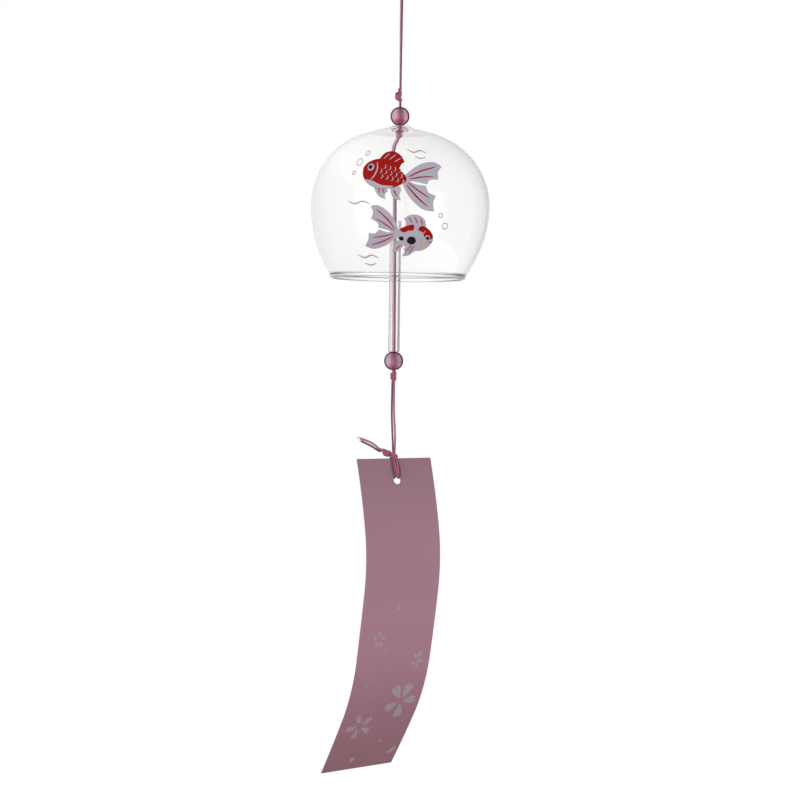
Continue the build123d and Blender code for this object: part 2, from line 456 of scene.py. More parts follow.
hook_route = [
    (0.43, 0.0, 14.0), (0.43, 0.0, 12.6), (1.10, 0.0, 9.2), (1.85, 0.0, 4.6),
    (2.00, 0.0, 0.8), (0.83, 0.0, -0.4), (-0.83, 0.0, -0.4), (-2.00, 0.0, 0.8),
    (-1.85, 0.0, 4.6), (-1.10, 0.0, 9.2), (-0.43, 0.0, 12.6), (-0.43, 0.0, 14.0),
]
hanging_left_route = [(-0.34, 0.28, 0.0), (-0.36, 0.30, 12.0), (-0.18, 0.38, 26.0)]
hanging_right_route = [(0.30, -0.28, 0.0), (0.24, -0.32, 13.0), (0.14, -0.40, 27.0)]
inner_left_route = [
    (-1.05, 0.0, 0.0), (-1.5, 0.0, 1.2), (-2.75, 0.0, 3.4), (-3.3, 0.0, 7.2),
    (-3.0, 0.0, 13.6), (-2.14, 0.0, 24.0), (-2.0, 0.0, 58.0),
]
inner_right_route = [
    (-0.25, 0.0, 0.0), (-0.6, 0.0, 1.4), (-1.9, 0.0, 3.8), (-2.45, 0.0, 7.6),
    (-2.15, 0.0, 14.0), (-1.28, 0.0, 24.4), (-1.14, 0.0, 58.0),
]
lower_left_route = [
    (-1.63, 0.0, 0.0), (-1.75, -0.2, 7.6), (-1.72, -0.8, 15.4), (-1.30, -1.8, 23.4),
    (-0.96, -2.4, 29.4),
]
lower_right_route = [
    (-0.77, 0.0, 0.0), (-0.88, -0.2, 8.2), (-0.6, -0.9, 16.6), (-0.02, -1.8, 24.2),
    (-0.10, -2.4, 29.6),
]


def hung(route, top, *ends):
    """A route's points in metres, from the height of its upper end, with its lower end."""
    points = [Vector((x * MM, y * MM, top - drop * MM)) for x, y, drop in route]
    return points + [Vector(place) for place in ends]


PAIR_TURN = math.radians(74)


def strand_end(x, y, side, height, turn=0.0):
    """The place of one strand of the pair, which can be turned about its own middle."""
    reach = side * STRAND_PITCH / 2
    return (x + reach * math.cos(turn)) * MM, (y - reach * math.sin(turn)) * MM, height


# %% Make the hanging stretches
KNOT_OVERLAP = 0.1 * MM
top_knot_top, lower_knot_top = top_of("top_knot"), top_of("lower_knot")
hitch_top = foot_of("lower_cord_left")
upper_start = foot_of("loop_knot")
inner_start = foot_of("stopper_knot") + KNOT_OVERLAP
lower_start = foot_of("lower_knot") + KNOT_OVERLAP

stretches = {
    "hanging_loop": ("hook_loop", pink_cord, hung(hook_route, 0.0)),
    "hanging_cord_left": ("main_cord", pink_cord, hung(
        hanging_left_route, upper_start, strand_end(0, 0, -1, top_knot_top, PAIR_TURN))),
    "hanging_cord_right": ("main_cord", shaded_strand_cord, hung(
        hanging_right_route, upper_start, strand_end(0, 0, 1, top_knot_top, PAIR_TURN))),
    "inner_cord_left": ("clapper_cord", pink_cord, hung(
        inner_left_route, inner_start, strand_end(CLAPPER_X, 0, -1, lower_knot_top))),
    "inner_cord_right": ("clapper_cord", shaded_strand_cord, hung(
        inner_right_route, inner_start, strand_end(CLAPPER_X, 0, 1, lower_knot_top))),
    "lower_cord_left": ("strip_cord", shaded_strand_cord, hung(
        lower_left_route, lower_start, strand_end(STRIP_X, STRIP_Y, -1, hitch_top))),
    "lower_cord_right": ("strip_cord", strip_shade_cord, hung(
        lower_right_route, lower_start, strand_end(STRIP_X, STRIP_Y, 1, hitch_top))),
}
cords, cord_lines = {}, {}
for name, (body, finish, route) in stretches.items():
    line = smooth_line(name, route)
    radius = LOOSE_RADIUS if name.startswith("lower") else CORD_RADIUS
    cords[name] = braided("cord_" + name, [line], body, finish, radius)
    cord_lines[name] = line
    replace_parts(cords[name], name)
print("stretches of cord:", len(cords))


# %% The two short strands through the bead and the bell's neck, which turn as they go down
def shares(count):
    """Evenly spaced shares of a way, from 0 to 1."""
    return [step / count for step in range(count + 1)]


neck_top, neck_foot = top_of("neck_cord_left"), foot_of("neck_cord_left")
for name, side, finish in (("neck_cord_left", -1, pink_cord), ("neck_cord_right", 1, shaded_strand_cord)):
    line = []
    for share in shares(12):
        height = neck_top + (neck_foot - neck_top) * share
        line.append(Vector(strand_end(0, 0, side, height, PAIR_TURN * (1 - share))))
    cords[name] = braided("cord_" + name, [line], "main_cord", finish)
    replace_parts(cords[name], name)
print("neck strands, mm:", round((neck_top - neck_foot) / MM, 1))

# %% [markdown]
# ## Knots
# A knot in a doubled cord is the cord itself, wound over its own two strands and pulled
# tight. A lump with a bump map would lose the crossings, so each knot is built from two
# strands side by side that follow one overhand path: around, back up over the first turn,
# and out through the middle. The path is in shares of the knot's own width and height.

# %% One overhand path, laid into each knot's place
KNOT_SPREAD, STRAND_APART = 1.15, 0.9
overhand_path = [
    (0.00, 0.00, 1.00), (0.04, -0.34, 0.76), (0.60, -0.20, 0.44), (0.42, 0.52, 0.18),
    (-0.44, 0.50, -0.04), (-0.66, -0.14, -0.20), (-0.10, -0.66, -0.32), (0.58, -0.36, -0.46),
    (0.48, 0.40, -0.62), (-0.22, 0.52, -0.52), (-0.64, 0.08, -0.08), (-0.50, -0.46, 0.34),
    (0.10, -0.66, 0.46), (0.52, -0.12, 0.12), (0.18, 0.20, -0.30), (0.00, 0.00, -0.72),
    (0.00, 0.00, -1.00),
]


def knot_lines(place, radius, height, mirror=1, lean=0.0, droop=0.0):
    """Two strands along the overhand path. The middle can lean to one side, or sit lower."""
    reach = (radius - CORD_RADIUS / 2) * KNOT_SPREAD
    centre = []
    for x, y, z in overhand_path:
        centre.append(Vector((x * mirror * reach, y * reach, z * height / 2)))
    line = even_line(smooth_line("knot", centre))
    lines = ([], [])
    for point, (way, side, across) in zip(line, frames_along(line)):
        outward = Vector((point.x, point.y, 0))
        outward = outward.normalized() if outward.length > 0.2 * MM else Vector((0, -1, 0))
        beside = way.cross(outward)
        beside = beside.normalized() if beside.length > 0.1 else side
        middle = 1 - (2 * point.z / height) ** 2
        aside = Vector((lean * middle, 0, -droop * middle)) * MM
        for strand, sign in zip(lines, (-1, 1)):
            strand.append(place @ (point + beside * sign * CORD_RADIUS * STRAND_APART) + aside)
    return lines


def knot_piece(node, body, mirror=1, spin=0.0, lean=0.0, grow=1.0, droop=0.0, taller=0.0):
    """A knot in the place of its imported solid, a little larger or taller where it says so."""
    low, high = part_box(node)
    middle = [(a + b) / 2 for a, b in zip(low, high)]
    place = Matrix.Translation(middle) @ Matrix.Rotation(math.radians(spin), 4, "Z")
    height = high[2] - low[2] + taller * MM
    lines = knot_lines(place, (high[0] - low[0]) / 2 * grow, height, mirror, lean, droop)
    # Knots take the cord finish with painted shade in its colour.
    piece = braided("knot_" + node, lines, body, knot_shade_cord)
    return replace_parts(piece, node)


loop_knot = knot_piece("loop_knot", "hook_loop")
top_knot = knot_piece(
    "top_knot", "main_cord", mirror=-1, spin=200, lean=-0.8, grow=1.05, droop=0.9)
stopper_knot = knot_piece("stopper_knot", "stopper", spin=120, lean=-0.3, grow=1.1, taller=0.6)
lower_knot = knot_piece("lower_knot", "clapper_cord", spin=20, taller=0.6)
print("points in a knot:", len(lower_knot.data.vertices))

# %% [markdown]
# ## The tie over the strip
# Under the lower cord the strands part: they go down in front of the card, through its
# punched hole and up again behind it, and are hitched together over the edge. Beside the
# hitch the two cut ends leave through one more knot. Everything here hangs on the strip.

# %% The strip's own frame
STRIP_TURN, STRIP_ROLL = math.radians(35.7), math.radians(-1.1)
HITCH_TO_CARD = 3.4 * MM
strip_top = hitch_top - HITCH_TO_CARD
strip_place = (
    Matrix.Translation((STRIP_X * MM, STRIP_Y * MM, strip_top))
    @ Matrix.Rotation(STRIP_ROLL, 4, "Y")
    @ Matrix.Rotation(STRIP_TURN, 4, "Z")
)


def on_strip(x, y, z):
    """A place beside the card, in mm from the middle of its upper edge."""
    return strip_place @ Vector((x * MM, y * MM, z * MM))


# %% The four strands through the hole
loop_across_top = [-1.30, -0.62, 0.60, 1.15]
loop_across_hole = [-1.20, -0.42, 0.42, 1.20]
loop_low = [0.55, 0.0, 0.0, 0.55]
loop_route = [
    (0.0, -0.72, 0.9), (0.0, -0.75, 0.0), (0.3, -1.35, -2.0), (0.7, -2.50, -5.0),
    (1.0, -2.95, -7.9), (1.0, -1.15, -8.35), (0.7, -0.15, -4.8), (0.3, 0.62, -1.8),
    (0.0, 0.72, 0.0), (0.0, 0.70, 0.9),
]
loop_bow = [0.0, 0.0, 0.25, 0.7]
for number in range(4):
    top, hole, low = loop_across_top[number], loop_across_hole[number], loop_low[number]
    route = []
    for share, y, z in loop_route:
        across = top + (hole - top) * share + loop_bow[number] * math.sin(math.pi * share)
        route.append(on_strip(across, y, z - low * share))
    name = f"strip_loop_{number + 1}"
    finish = shaded_strand_cord if number in (0, 3) else strip_shade_cord
    cords[name] = braided("cord_" + name, [smooth_line(name, route)], "strip", finish)
    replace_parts(cords[name], name)
print("strands through the card:", len(loop_across_hole))

# %% The lump beside the hitch, and the two cut ends
LUMP_LENGTH, LUMP_RADIUS, LUMP_RISE, LUMP_SPIN = 5.0, 1.95, math.radians(22), 0.6
lump_start = Vector(((STRIP_X - 1.2) * MM, (STRIP_Y - 0.3) * MM, hitch_top - 1.9 * MM))
lump_turn = Matrix.Rotation(LUMP_RISE, 4, "Y")
lump_place = Matrix.Translation(lump_start) @ lump_turn
lump_middle = lump_place @ Matrix.Translation((-LUMP_LENGTH / 2 * MM, 0, 0))
lump_lines = knot_lines(
    lump_middle @ Matrix.Rotation(math.radians(-90), 4, "Y") @ Matrix.Rotation(LUMP_SPIN, 4, "Z"),
    LUMP_RADIUS * MM, LUMP_LENGTH * MM)
upper_tail_route = [
    (0.0, 0.0, 0.0), (-1.2, 0.0, 0.6), (-2.9, -0.1, 2.2), (-6.0, -0.4, 3.9), (-9.4, -0.6, 4.9),
]
lower_tail_route = [(0.0, 0.0, 0.0), (-1.2, 0.0, 0.5), (-4.3, 0.2, 2.6), (-8.6, 0.5, 4.5)]
tail_ends = {}
for name, route, side in (
    ("cord_tail_upper", upper_tail_route, 1), ("cord_tail_lower", lower_tail_route, -1),
):
    seat = lump_place @ Vector((-LUMP_LENGTH * MM, 0, side * STRAND_PITCH / 2 * MM))
    points = [seat + Vector((x, y, z)) * MM for x, y, z in route]
    line = smooth_line(name, points)
    tail_ends[name] = (line[-2], line[-1])
    finish = strip_shade_cord if side > 0 else shaded_strand_cord
    cords[name] = braided(name + "_braid", [line], "strip", finish, TAIL_RADIUS)
    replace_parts(cords[name], name)
print("cut ends:", len(tail_ends))

# %% The hitch: wraps around the strands, falling to the right, and the strands inside it
HITCH_HALF, WRAP_DEPTH = 1.75 * MM, 1.1
hitch_place = (
    Matrix.Translation((STRIP_X * MM, STRIP_Y * MM, hitch_top - HITCH_HALF))
    @ Matrix.Rotation(STRIP_TURN, 4, "Z")
)


def wrap_line(rise, lean, width):
    """A closed oval wrap around the hitch, leaning to one side."""
    line = []
    for share in shares(48):
        angle = share * math.tau
        x, y = width * math.cos(angle), WRAP_DEPTH * math.sin(angle)
        line.append(hitch_place @ Vector((x * MM, y * MM, (rise + lean * x) * MM)))
    return line


wraps = [wrap_line(0.1, -0.45, 1.5), wrap_line(-0.7, -0.6, 1.6), wrap_line(-1.45, -0.5, 1.5)]
cores = []
for side in (-1, 1):
    x = side * STRAND_PITCH / 2
    cores.append([hitch_place @ Vector((x * MM, 0, z * MM)) for z in (1.8, 0.6, -0.6, -1.8)])
tie_knot = braided("knot_tie", list(lump_lines) + wraps + cores, "strip", knot_shade_cord)
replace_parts(tie_knot, "tie_knot")
print("wraps in the hitch:", len(wraps))


# %% The cut ends, melted so that the braid can't come undone
def melted_finish():
    """Melted cord sets clear and a little cloudy."""
    finish = Finish("melted_cord_end")
    clouds = finish.noise(finish.place(), 900.0, 2.0)
    sockets = {
        "Base Color": finish.mix(clouds, srgb(206, 196, 202), srgb(240, 232, 236)),
        "Roughness": clouds * 0.15 + 0.05,
        "Transmission Weight": 0.9,
        "IOR": 1.5,
    }
    return finish.show(finish.principled(sockets))


melted_end = melted_finish()
TIP_POINTS = 16
TIP_PROFILE = [(0.0, 0.36), (0.25, 0.44), (0.6, 0.43), (1.0, 0.36), (1.3, 0.26), (1.45, 0.1)]
tips = []
for name, stretch in (("cord_tail_upper", 1.0), ("cord_tail_lower", 0.55)):
    before, end = tail_ends[name]
    way = (end - before).normalized()
    side = way.orthogonal().normalized()
    across = way.cross(side)
    vertices, faces = [], []
    for number, (along, radius) in enumerate(TIP_PROFILE):
        for step in range(TIP_POINTS):
            angle = step / TIP_POINTS * math.tau
            ring = (side * math.cos(angle) + across * math.sin(angle)) * radius
            vertices.append(end + (way * along * stretch + ring) * MM)
            if number:
                a = number * TIP_POINTS + step
                b = number * TIP_POINTS + (step + 1) % TIP_POINTS
                faces.append((a - TIP_POINTS, b - TIP_POINTS, b, a))
    faces.append(tuple(range(TIP_POINTS - 1, -1, -1)))
    faces.append(tuple(range(len(vertices) - TIP_POINTS, len(vertices))))
    tips.append(add_mesh(name + "_tip", vertices, faces, melted_end, "strip"))

# %% The free cords in a table: length in mm, far end, lay, and what rides on each
declared = {
    "hanging_loop": (31.3, "object", "hanging", [loop_knot]),
    "hanging_cord_left": (40.3, "knot", "taut", [top_knot, cords["neck_cord_left"]]),
    "hanging_cord_right": (40.3, "knot", "taut", [cords["neck_cord_right"]]),
    "inner_cord_left": (103.9, "knot", "hanging", [stopper_knot, lower_knot]),
    "inner_cord_right": (103.9, "knot", "hanging", []),
    "lower_cord_left": (30.9, "knot", "hanging", [
        tie_knot, cords["cord_tail_upper"], cords["cord_tail_lower"], *tips]),
    "lower_cord_right": (30.9, "knot", "hanging", [
        cords[f"strip_loop_{n}"] for n in (1, 2, 3, 4)]),
}
for name, (length, far_end, lay, others) in declared.items():
    length * MM
print("declared cords:", len(declared))

# %% [markdown]
# ## Clear glass
# The bell is blown and the tube is drawn from soda glass: nearly colourless, and visible
# mostly at its edges, where one looks along the wall instead of through it. Layer Weight
# gives that angle, and a ramp on it paints shade into the glass towards its outline, for
# the darker room that the glass mirrors and bends there. The rim has a steeper ramp of
# painted shade where its surface leans up or down, so only its top and foot draw dark lines.
# The neck is mostly see-through, or it would mirror the bead that sits on it. Lamps reach
# what is inside, because the glass lets shadow rays through as if it were clear air.


# %% The glass finish
RIM_HEIGHTS = (-141.2 * MM, -141.8 * MM)
NECK_HEIGHTS = (-79.2 * MM, -77.8 * MM)
NECK_CLEARNESS = 0.6


def glass_finish(name, wall, wave_scale, wave_depth, rim=None, neck=None):
    """wall, rim and neck are the stops of a ramp of painted shade, from face on to edge on."""
    finish = Finish(name)
    where = finish.place()
    facing = finish.facing()
    waves = finish.noise(where, wave_scale, 1.0)
    # Painted shade: the ramp greys the glass towards its outline.
    colour = finish.ramp(facing, wall)
    see_through = 0.0
    if rim:
        # More painted shade on the rim and the neck, each with its own ramp.
        height = finish.axis(where, "Z")
        at_rim = finish.slope(height, *RIM_HEIGHTS)
        tilt = finish.axis(finish.place("Normal"), "Z").absolute()
        leaning = finish.slope(tilt, 0.1, 0.5, 0.25, 1.0)
        colour = finish.mix(at_rim * leaning, colour, finish.ramp(facing, rim))
        at_neck = finish.slope(height, *NECK_HEIGHTS)
        colour = finish.mix(at_neck, colour, finish.ramp(facing, neck))
        see_through = at_neck * NECK_CLEARNESS
    sockets = {
        "Base Color": colour,
        "Roughness": 0.0,
        "IOR": 1.47,
        "Transmission Weight": 1.0,
        "Normal": finish.bump(waves, wave_depth),
    }
    passing = finish.ray("Is Shadow Ray").over(finish.ray("Is Diffuse Ray")).over(see_through)
    clear = finish.transparent(0.97, 0.97, 0.97)
    return finish.show(finish.blend(passing, finish.principled(sockets), clear))


# %% One glass for the bell and one for the tube
# Ramps of painted shade for the glass, from face on to edge on.
wall_shade_stops = [
    (0.0, (1.0, 1.0, 0.995)), (0.45, (0.995, 0.99, 0.985)), (0.68, (0.96, 0.95, 0.945)),
    (0.84, (0.89, 0.88, 0.88)), (0.95, (0.74, 0.72, 0.73)), (1.0, (0.55, 0.53, 0.54)),
]
rim_shade_stops = [
    (0.0, (0.99, 0.99, 0.985)), (0.18, (0.95, 0.94, 0.94)), (0.34, (0.5, 0.48, 0.49)),
    (0.52, (0.12, 0.1, 0.11)), (1.0, (0.03, 0.025, 0.03)),
]
neck_shade_stops = [
    (0.0, (1.0, 1.0, 0.995)), (0.55, (0.97, 0.965, 0.96)),
    (0.82, (0.6, 0.59, 0.59)), (1.0, (0.06, 0.055, 0.06)),
]
tube_shade_stops = [
    (0.0, (0.99, 0.99, 0.99)), (0.28, (0.95, 0.945, 0.945)), (0.44, (0.60, 0.58, 0.59)),
    (0.62, (0.16, 0.14, 0.15)), (1.0, (0.03, 0.025, 0.03)),
]
bell_glass = glass_finish(
    "clear_blown_glass", wall_shade_stops, 12.0, 0.03 * MM, rim_shade_stops, neck_shade_stops)
tube_glass = glass_finish("clear_tube_glass", tube_shade_stops, 60.0, 0.01 * MM)

# %% [markdown]
# ## The bell
# Blown into a mould and cut, with the rim melted round again in the flame. A lathe shape
# is right for it: one outline, turned about the cord. The outline follows the arcs of the
# packed bell, outside and inside, with the thicker rounded rim at its foot.


# %% Turn an outline about an upright axis
def lathe(name, outline, finish, body, x=0.0, steps=192):
    """outline is a closed ring of (radius, height) in mm, turned about the line at x."""
    count = len(outline)
    vertices = []
    for step in range(steps):
        angle = step / steps * math.tau
        for radius, height in outline:
            vertices.append((
                (x + radius * math.sin(angle)) * MM,
                -radius * math.cos(angle) * MM,
                height * MM))
    faces = []
    for step in range(steps):
        here, there = step * count, (step + 1) % steps * count
        for index in range(count):
            after = (index + 1) % count
            faces.append((here + index, here + after, there + after, there + index))
    piece = add_mesh(name, vertices, faces, finish, body)
    shape = bmesh.new()
    shape.from_mesh(piece.data)
    bmesh.ops.recalc_face_normals(shape, faces=shape.faces)
    shape.to_mesh(piece.data)
    shape.free()
    return piece


# %% The bell's outline
BELL_RADIUS, NECK_HOLE, NECK_EDGE = 39.7, 1.5, 0.4
neck_z = top_of("glass_bell") / MM
DOME_TURN, LOWER_TURN, NECK_TURN, SLOPE = (math.radians(a) for a in (71.4, 29.3, 28.5, 11.7))
DOME, SHOULDER, LOWER, FLARE, ROUNDING = 33.3, 81.8, 53.8, 3.5, 3.5
SKIRT_HEIGHT, RIM_RADIUS = 5.51, 0.95
equator_z = (
    neck_z
    - ROUNDING * (1 - math.cos(NECK_TURN + SLOPE))
    - FLARE * (math.cos(SLOPE) - math.cos(NECK_TURN + SLOPE))
    - SHOULDER * (math.cos(SLOPE) - math.sin(DOME_TURN))
    - DOME * math.sin(DOME_TURN)
)


def arc(start, heading, radius, turn, steps):
    """Points along an arc, each with the heading there. A turn over 0 is to the left."""
    side = 1 if turn > 0 else -1
    middle = (
        start[0] - side * radius * math.sin(heading),
        start[1] + side * radius * math.cos(heading),
    )
    points = []
    for step in range(1, steps + 1):
        angle = heading + turn * step / steps
        points.append((
            middle[0] + side * radius * math.sin(angle),
            middle[1] - side * radius * math.cos(angle),
            angle,
        ))
    return points


# %% Outer wall, from the foot to the hole in the neck
equator = (BELL_RADIUS, equator_z, math.pi / 2)
lower = arc(equator, -math.pi / 2, LOWER, -LOWER_TURN, 16)
skirt_heading = lower[-1][2]
skirt_run = SKIRT_HEIGHT / math.cos(LOWER_TURN)
skirt = []
for share in shares(6)[1:]:
    run = skirt_run * share
    skirt.append((
        lower[-1][0] + run * math.cos(skirt_heading),
        lower[-1][1] + run * math.sin(skirt_heading),
        skirt_heading,
    ))
upper = [equator]
for radius, turn, steps in (
    (DOME, DOME_TURN, 34), (SHOULDER, math.pi / 2 - DOME_TURN - SLOPE, 10),
    (FLARE, -NECK_TURN, 8), (ROUNDING, NECK_TURN + SLOPE, 16),
):
    upper += arc(upper[-1], upper[-1][2], radius, turn, steps)
upper.append((NECK_HOLE + NECK_EDGE, upper[-1][1], math.pi))
downward = [(x, z, heading + math.pi) for x, z, heading in lower + skirt]
outer_wall = list(reversed(downward)) + upper
print("points in the outer wall:", len(outer_wall))

# %% [markdown]
# ## A wall that thins towards the dome
# A glass blower's bubble is thinnest where it was blown furthest. The wall is over a
# millimetre at the rim and the neck, and half of that in the dome. A thin dome also shows
# the knot inside it without much bending of the light.

# %% The inner face, and the rings at the rim and the neck's hole
WALL_AT_HEIGHT = [
    (-150.0, 1.2), (-128.0, 1.15), (-113.0, 0.95), (-98.0, 0.7), (-86.0, 0.55), (-70.0, 0.55)]
WALL_AT_RADIUS = [(0.0, 0.9), (4.0, 0.8), (9.0, 0.55), (60.0, 0.0)]


def read_off(table, value):
    """The value between two entries of a short table."""
    for (low, first), (high, second) in zip(table, table[1:]):
        if value <= high:
            return first + (second - first) * (value - low) / (high - low)
    return table[-1][1]


inner_wall = []
for x, z, heading in outer_wall:
    thickness = max(read_off(WALL_AT_HEIGHT, z), read_off(WALL_AT_RADIUS, x))
    inner_wall.append((x - math.sin(heading) * thickness, z + math.cos(heading) * thickness))
outer_face = [(x, z) for x, z, heading in outer_wall]
rim_middle = [(a + b) / 2 for a, b in zip(outer_face[0], inner_wall[0])]
rim_gap = math.asin(WALL_AT_HEIGHT[0][1] / 2 / RIM_RADIUS)


def around(x, y, reach, angle):
    """The point that lies so far from another one, in the direction of the angle."""
    return x + reach * math.cos(angle), y + reach * math.sin(angle)


rim_ring = []
for share in shares(32):
    angle = skirt_heading + math.pi + rim_gap + (math.tau - 2 * rim_gap) * share
    rim_ring.append(around(*rim_middle, RIM_RADIUS, angle))
neck_edge = []
for height, first in ((outer_face[-1][1] - NECK_EDGE, 90), (inner_wall[-1][1] + NECK_EDGE, 180)):
    for share in shares(6)[1:-1]:
        angle = math.radians(first + 90 * share)
        neck_edge.append(around(NECK_HOLE + NECK_EDGE, height, NECK_EDGE, angle))


def clear_of_rim(points):
    """The points of a face that the round rim doesn't swallow."""
    return [point for point in points if math.dist(point, rim_middle) > RIM_RADIUS * 1.05]


if math.dist(rim_ring[0], outer_face[3]) < math.dist(rim_ring[-1], outer_face[3]):
    rim_ring.reverse()
bell_outline = (
    clear_of_rim(outer_face) + neck_edge + list(reversed(clear_of_rim(inner_wall))) + rim_ring
)
print("points in the bell's outline:", len(bell_outline))

# %% Turn the bell, and push its belly aside
BELLY_ASIDE = 0.75
bell = lathe("bell", bell_outline, bell_glass, "bell", steps=256)


def blown_aside(height):
    """Blown glass is never quite round: the belly stands a little to the right, in mm."""
    share = min(1.0, max(0.0, (height - rim_middle[1]) / (neck_z - rim_middle[1])))
    return BELLY_ASIDE * math.sin(math.pi * share)


for vertex in bell.data.vertices:
    vertex.co.x += blown_aside(vertex.co.z / MM) * MM
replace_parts(bell, "glass_bell")
print("equator at", round(equator_z, 2), "mm")

# %% [markdown]
# ## The clapper tube
# A length of drawn tube with its ends melted smooth. The cord shows through it, made wider
# by the wall's curve, so both faces of the wall are there and the glass bends the light.

# %% Make the tube
tube_low, tube_high = foot_of("clapper_tube") / MM, top_of("clapper_tube") / MM
TUBE_OUT, TUBE_IN = 2.5, 1.8
TUBE_EDGE = (TUBE_OUT - TUBE_IN) / 2
TUBE_MIDDLE = (TUBE_OUT + TUBE_IN) / 2
tube_outline = []
for end, sign in ((tube_low + TUBE_EDGE, -1), (tube_high - TUBE_EDGE, 1)):
    for share in shares(12):
        angle = share * math.pi
        tube_outline.append((
            TUBE_MIDDLE - sign * math.cos(angle) * TUBE_EDGE,
            end + sign * math.sin(angle) * TUBE_EDGE,
        ))
tube = lathe("clapper", tube_outline, tube_glass, "tube", CLAPPER_X, 96)
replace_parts(tube, "clapper_tube")
print("tube:", round(tube_high - tube_low, 1), "mm long")

# %% [markdown]
# ## The two beads
# Pressed beads of cloudy pink glass, with a bore for the doubled cord. The glass is a
# little milky: light goes in, and comes out softer. A bead bends its room so strongly that
# its outline is dark, so its outline gets painted shade: a dark colour, and a matt dark
# shader over it. Its foot, its top and the glass around the bore get a painted magenta glow,
# where real glass gathers the light. Faint swirls run through it, and the bore is half
# open, so that the cord shows in it.


# %% The bead finish
BORE_OPENNESS = 0.6


def bead_finish(name, face, edge, swirl, painted_glow, swirl_scale, middle, axis_x):
    finish = Finish(name)
    where = finish.place()
    x = finish.axis(where, "X") * 1000 - axis_x
    y = finish.axis(where, "Y") * 1000
    z = finish.axis(where, "Z") * 1000 - middle
    from_axis = (x * x + y * y) ** 0.5
    facing = finish.facing()
    swirls = finish.noise(finish.stretched(where, 0.3), swirl_scale, 4.0, 0.6)
    in_bore = finish.slope(from_axis, 2.2, 1.5)
    near_end = finish.slope(z.absolute(), 0.7, 2.3)
    low_down = finish.step(z * -1 - from_axis * 0.35, 0.2, 1.2)
    high_up = finish.step(z - from_axis * 0.35, 1.6, 2.8, 0.0, 0.6)
    colour = finish.mix((swirls * 2.4 - 0.8).over(0.0), face, swirl)
    # Painted glow: magenta near the bore's ends, at the foot and at the top, where real glass
    # gathers light.
    for share in (in_bore * near_end, low_down, high_up):
        colour = finish.mix(share, colour, painted_glow)
    # Painted shade: the outline darkens to the edge colour.
    colour = finish.mix(finish.step(facing, 0.34, 0.54), colour, edge)
    sockets = {
        "Base Color": colour,
        "Roughness": swirls * 0.1 + 0.05,
        "IOR": 1.5,
        "Transmission Weight": 0.8,
        "Coat Weight": 1.0,
        "Coat Roughness": 0.03,
        "Normal": finish.bump(swirls, 0.03 * MM, 0.5),
    }
    glass = finish.principled(sockets)
    # A matt dark shader over the outline: more painted shade.
    painted_outline_shade = finish.add("BsdfDiffuse", {}, {"Color": (0.03, 0.004, 0.016, 1)}, "BSDF")
    edged = finish.blend(finish.step(facing, 0.4, 0.66, 0.0, 0.9), glass, painted_outline_shade)
    bored = finish.blend(in_bore * BORE_OPENNESS, edged, finish.transparent(0.95, 0.82, 0.89))
    tinted = finish.transparent(0.75, 0.5, 0.62)
    return finish.show(finish.blend(finish.ray("Is Shadow Ray"), bored, tinted))


def middle_of(node):
    """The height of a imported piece's middle, in mm."""
    return (top_of(node) + foot_of(node)) / 2 / MM


# The edge colour is painted shade at the outline, and the magenta one a painted glow.
upper_glass = bead_finish(
    "pink_bead_glass", face=srgb(228, 178, 204), edge=srgb(56, 12, 40),
    swirl=srgb(176, 120, 150), painted_glow=srgb(200, 44, 112), swirl_scale=700.0,
    middle=middle_of("top_bead"), axis_x=0.0)
lower_glass = bead_finish(
    "mauve_bead_glass", face=srgb(226, 182, 204), edge=srgb(30, 8, 22),
    swirl=srgb(128, 84, 110), painted_glow=srgb(206, 84, 136), swirl_scale=900.0,
    middle=middle_of("lower_bead"), axis_x=CLAPPER_X)

# %% Make the beads
BEAD_RADIUS, BEAD_BORE = 4.25, 1.2
BORE_ROUNDING = 0.25


def bead_outline(middle):
    """A ball's outline with its bore, whose two edges are rounded."""
    edge = math.acos((BEAD_BORE + BORE_ROUNDING) / (BEAD_RADIUS - BORE_ROUNDING))
    points = []
    for share in shares(48):
        points.append(around(0.0, middle, BEAD_RADIUS, -edge + 2 * edge * share))
    edge_middle = (BEAD_BORE + BORE_ROUNDING, (BEAD_RADIUS - BORE_ROUNDING) * math.sin(edge))
    for sign, turns in ((1, shares(5)[1:]), (-1, shares(5)[:0:-1])):
        for share in turns:
            x, z = around(*edge_middle, BORE_ROUNDING, edge + (math.pi - edge) * share)
            points.append((x, middle + sign * z))
    return points


for name, node, body, x, finish in (
    ("bead_above", "top_bead", "upper_bead", 0.0, upper_glass),
    ("bead_below", "lower_bead", "under_bead", CLAPPER_X, lower_glass),
):
    bead = lathe(name, bead_outline(middle_of(node)), finish, body, x, 96)
    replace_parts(bead, node)
    print(name, "points:", len(bead.data.vertices))

# %% [markdown]
# ## The paper strip
# A thin card, 40 by 150 mm, that has taken a curl. Its line down the middle is a few soft
# arcs, each with its own heading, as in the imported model, and its lower half has warped by
# a few degrees as well. One function gives the place of any point of the card, so the
# sheet and everything printed on it bend alike.

# %% Where a point of the card lies
STRIP_WIDTH, STRIP_LENGTH, STRIP_THICK = 40.0, 150.0, 0.35
STRIP_HEADINGS = [15.0, 8.5, -11.0, -13.0, -34.0, -37.0]
HOLE_DEPTH, HOLE_RADIUS = 9.8, 1.9
CARD_STEP = 0.25


def heading_at(down):
    """How far the card leans at a depth under its upper edge, in radians."""
    run = STRIP_LENGTH / (len(STRIP_HEADINGS) - 1)
    index = min(len(STRIP_HEADINGS) - 2, max(0, int(down / run)))
    share = down / run - index
    low, high = STRIP_HEADINGS[index], STRIP_HEADINGS[index + 1]
    return math.radians(low + (high - low) * share)


card_line = [(0.0, 0.0)]
for step in range(int(STRIP_LENGTH / CARD_STEP)):
    heading = heading_at((step + 0.5) * CARD_STEP)
    y, z = card_line[-1]
    card_line.append((y - math.sin(heading) * CARD_STEP, z - math.cos(heading) * CARD_STEP))
print("the card's foot lies", round(card_line[-1][0], 1), "mm back")

# %% The same with the warp
TWIST, TWIST_START = math.radians(-3.8), 70.0


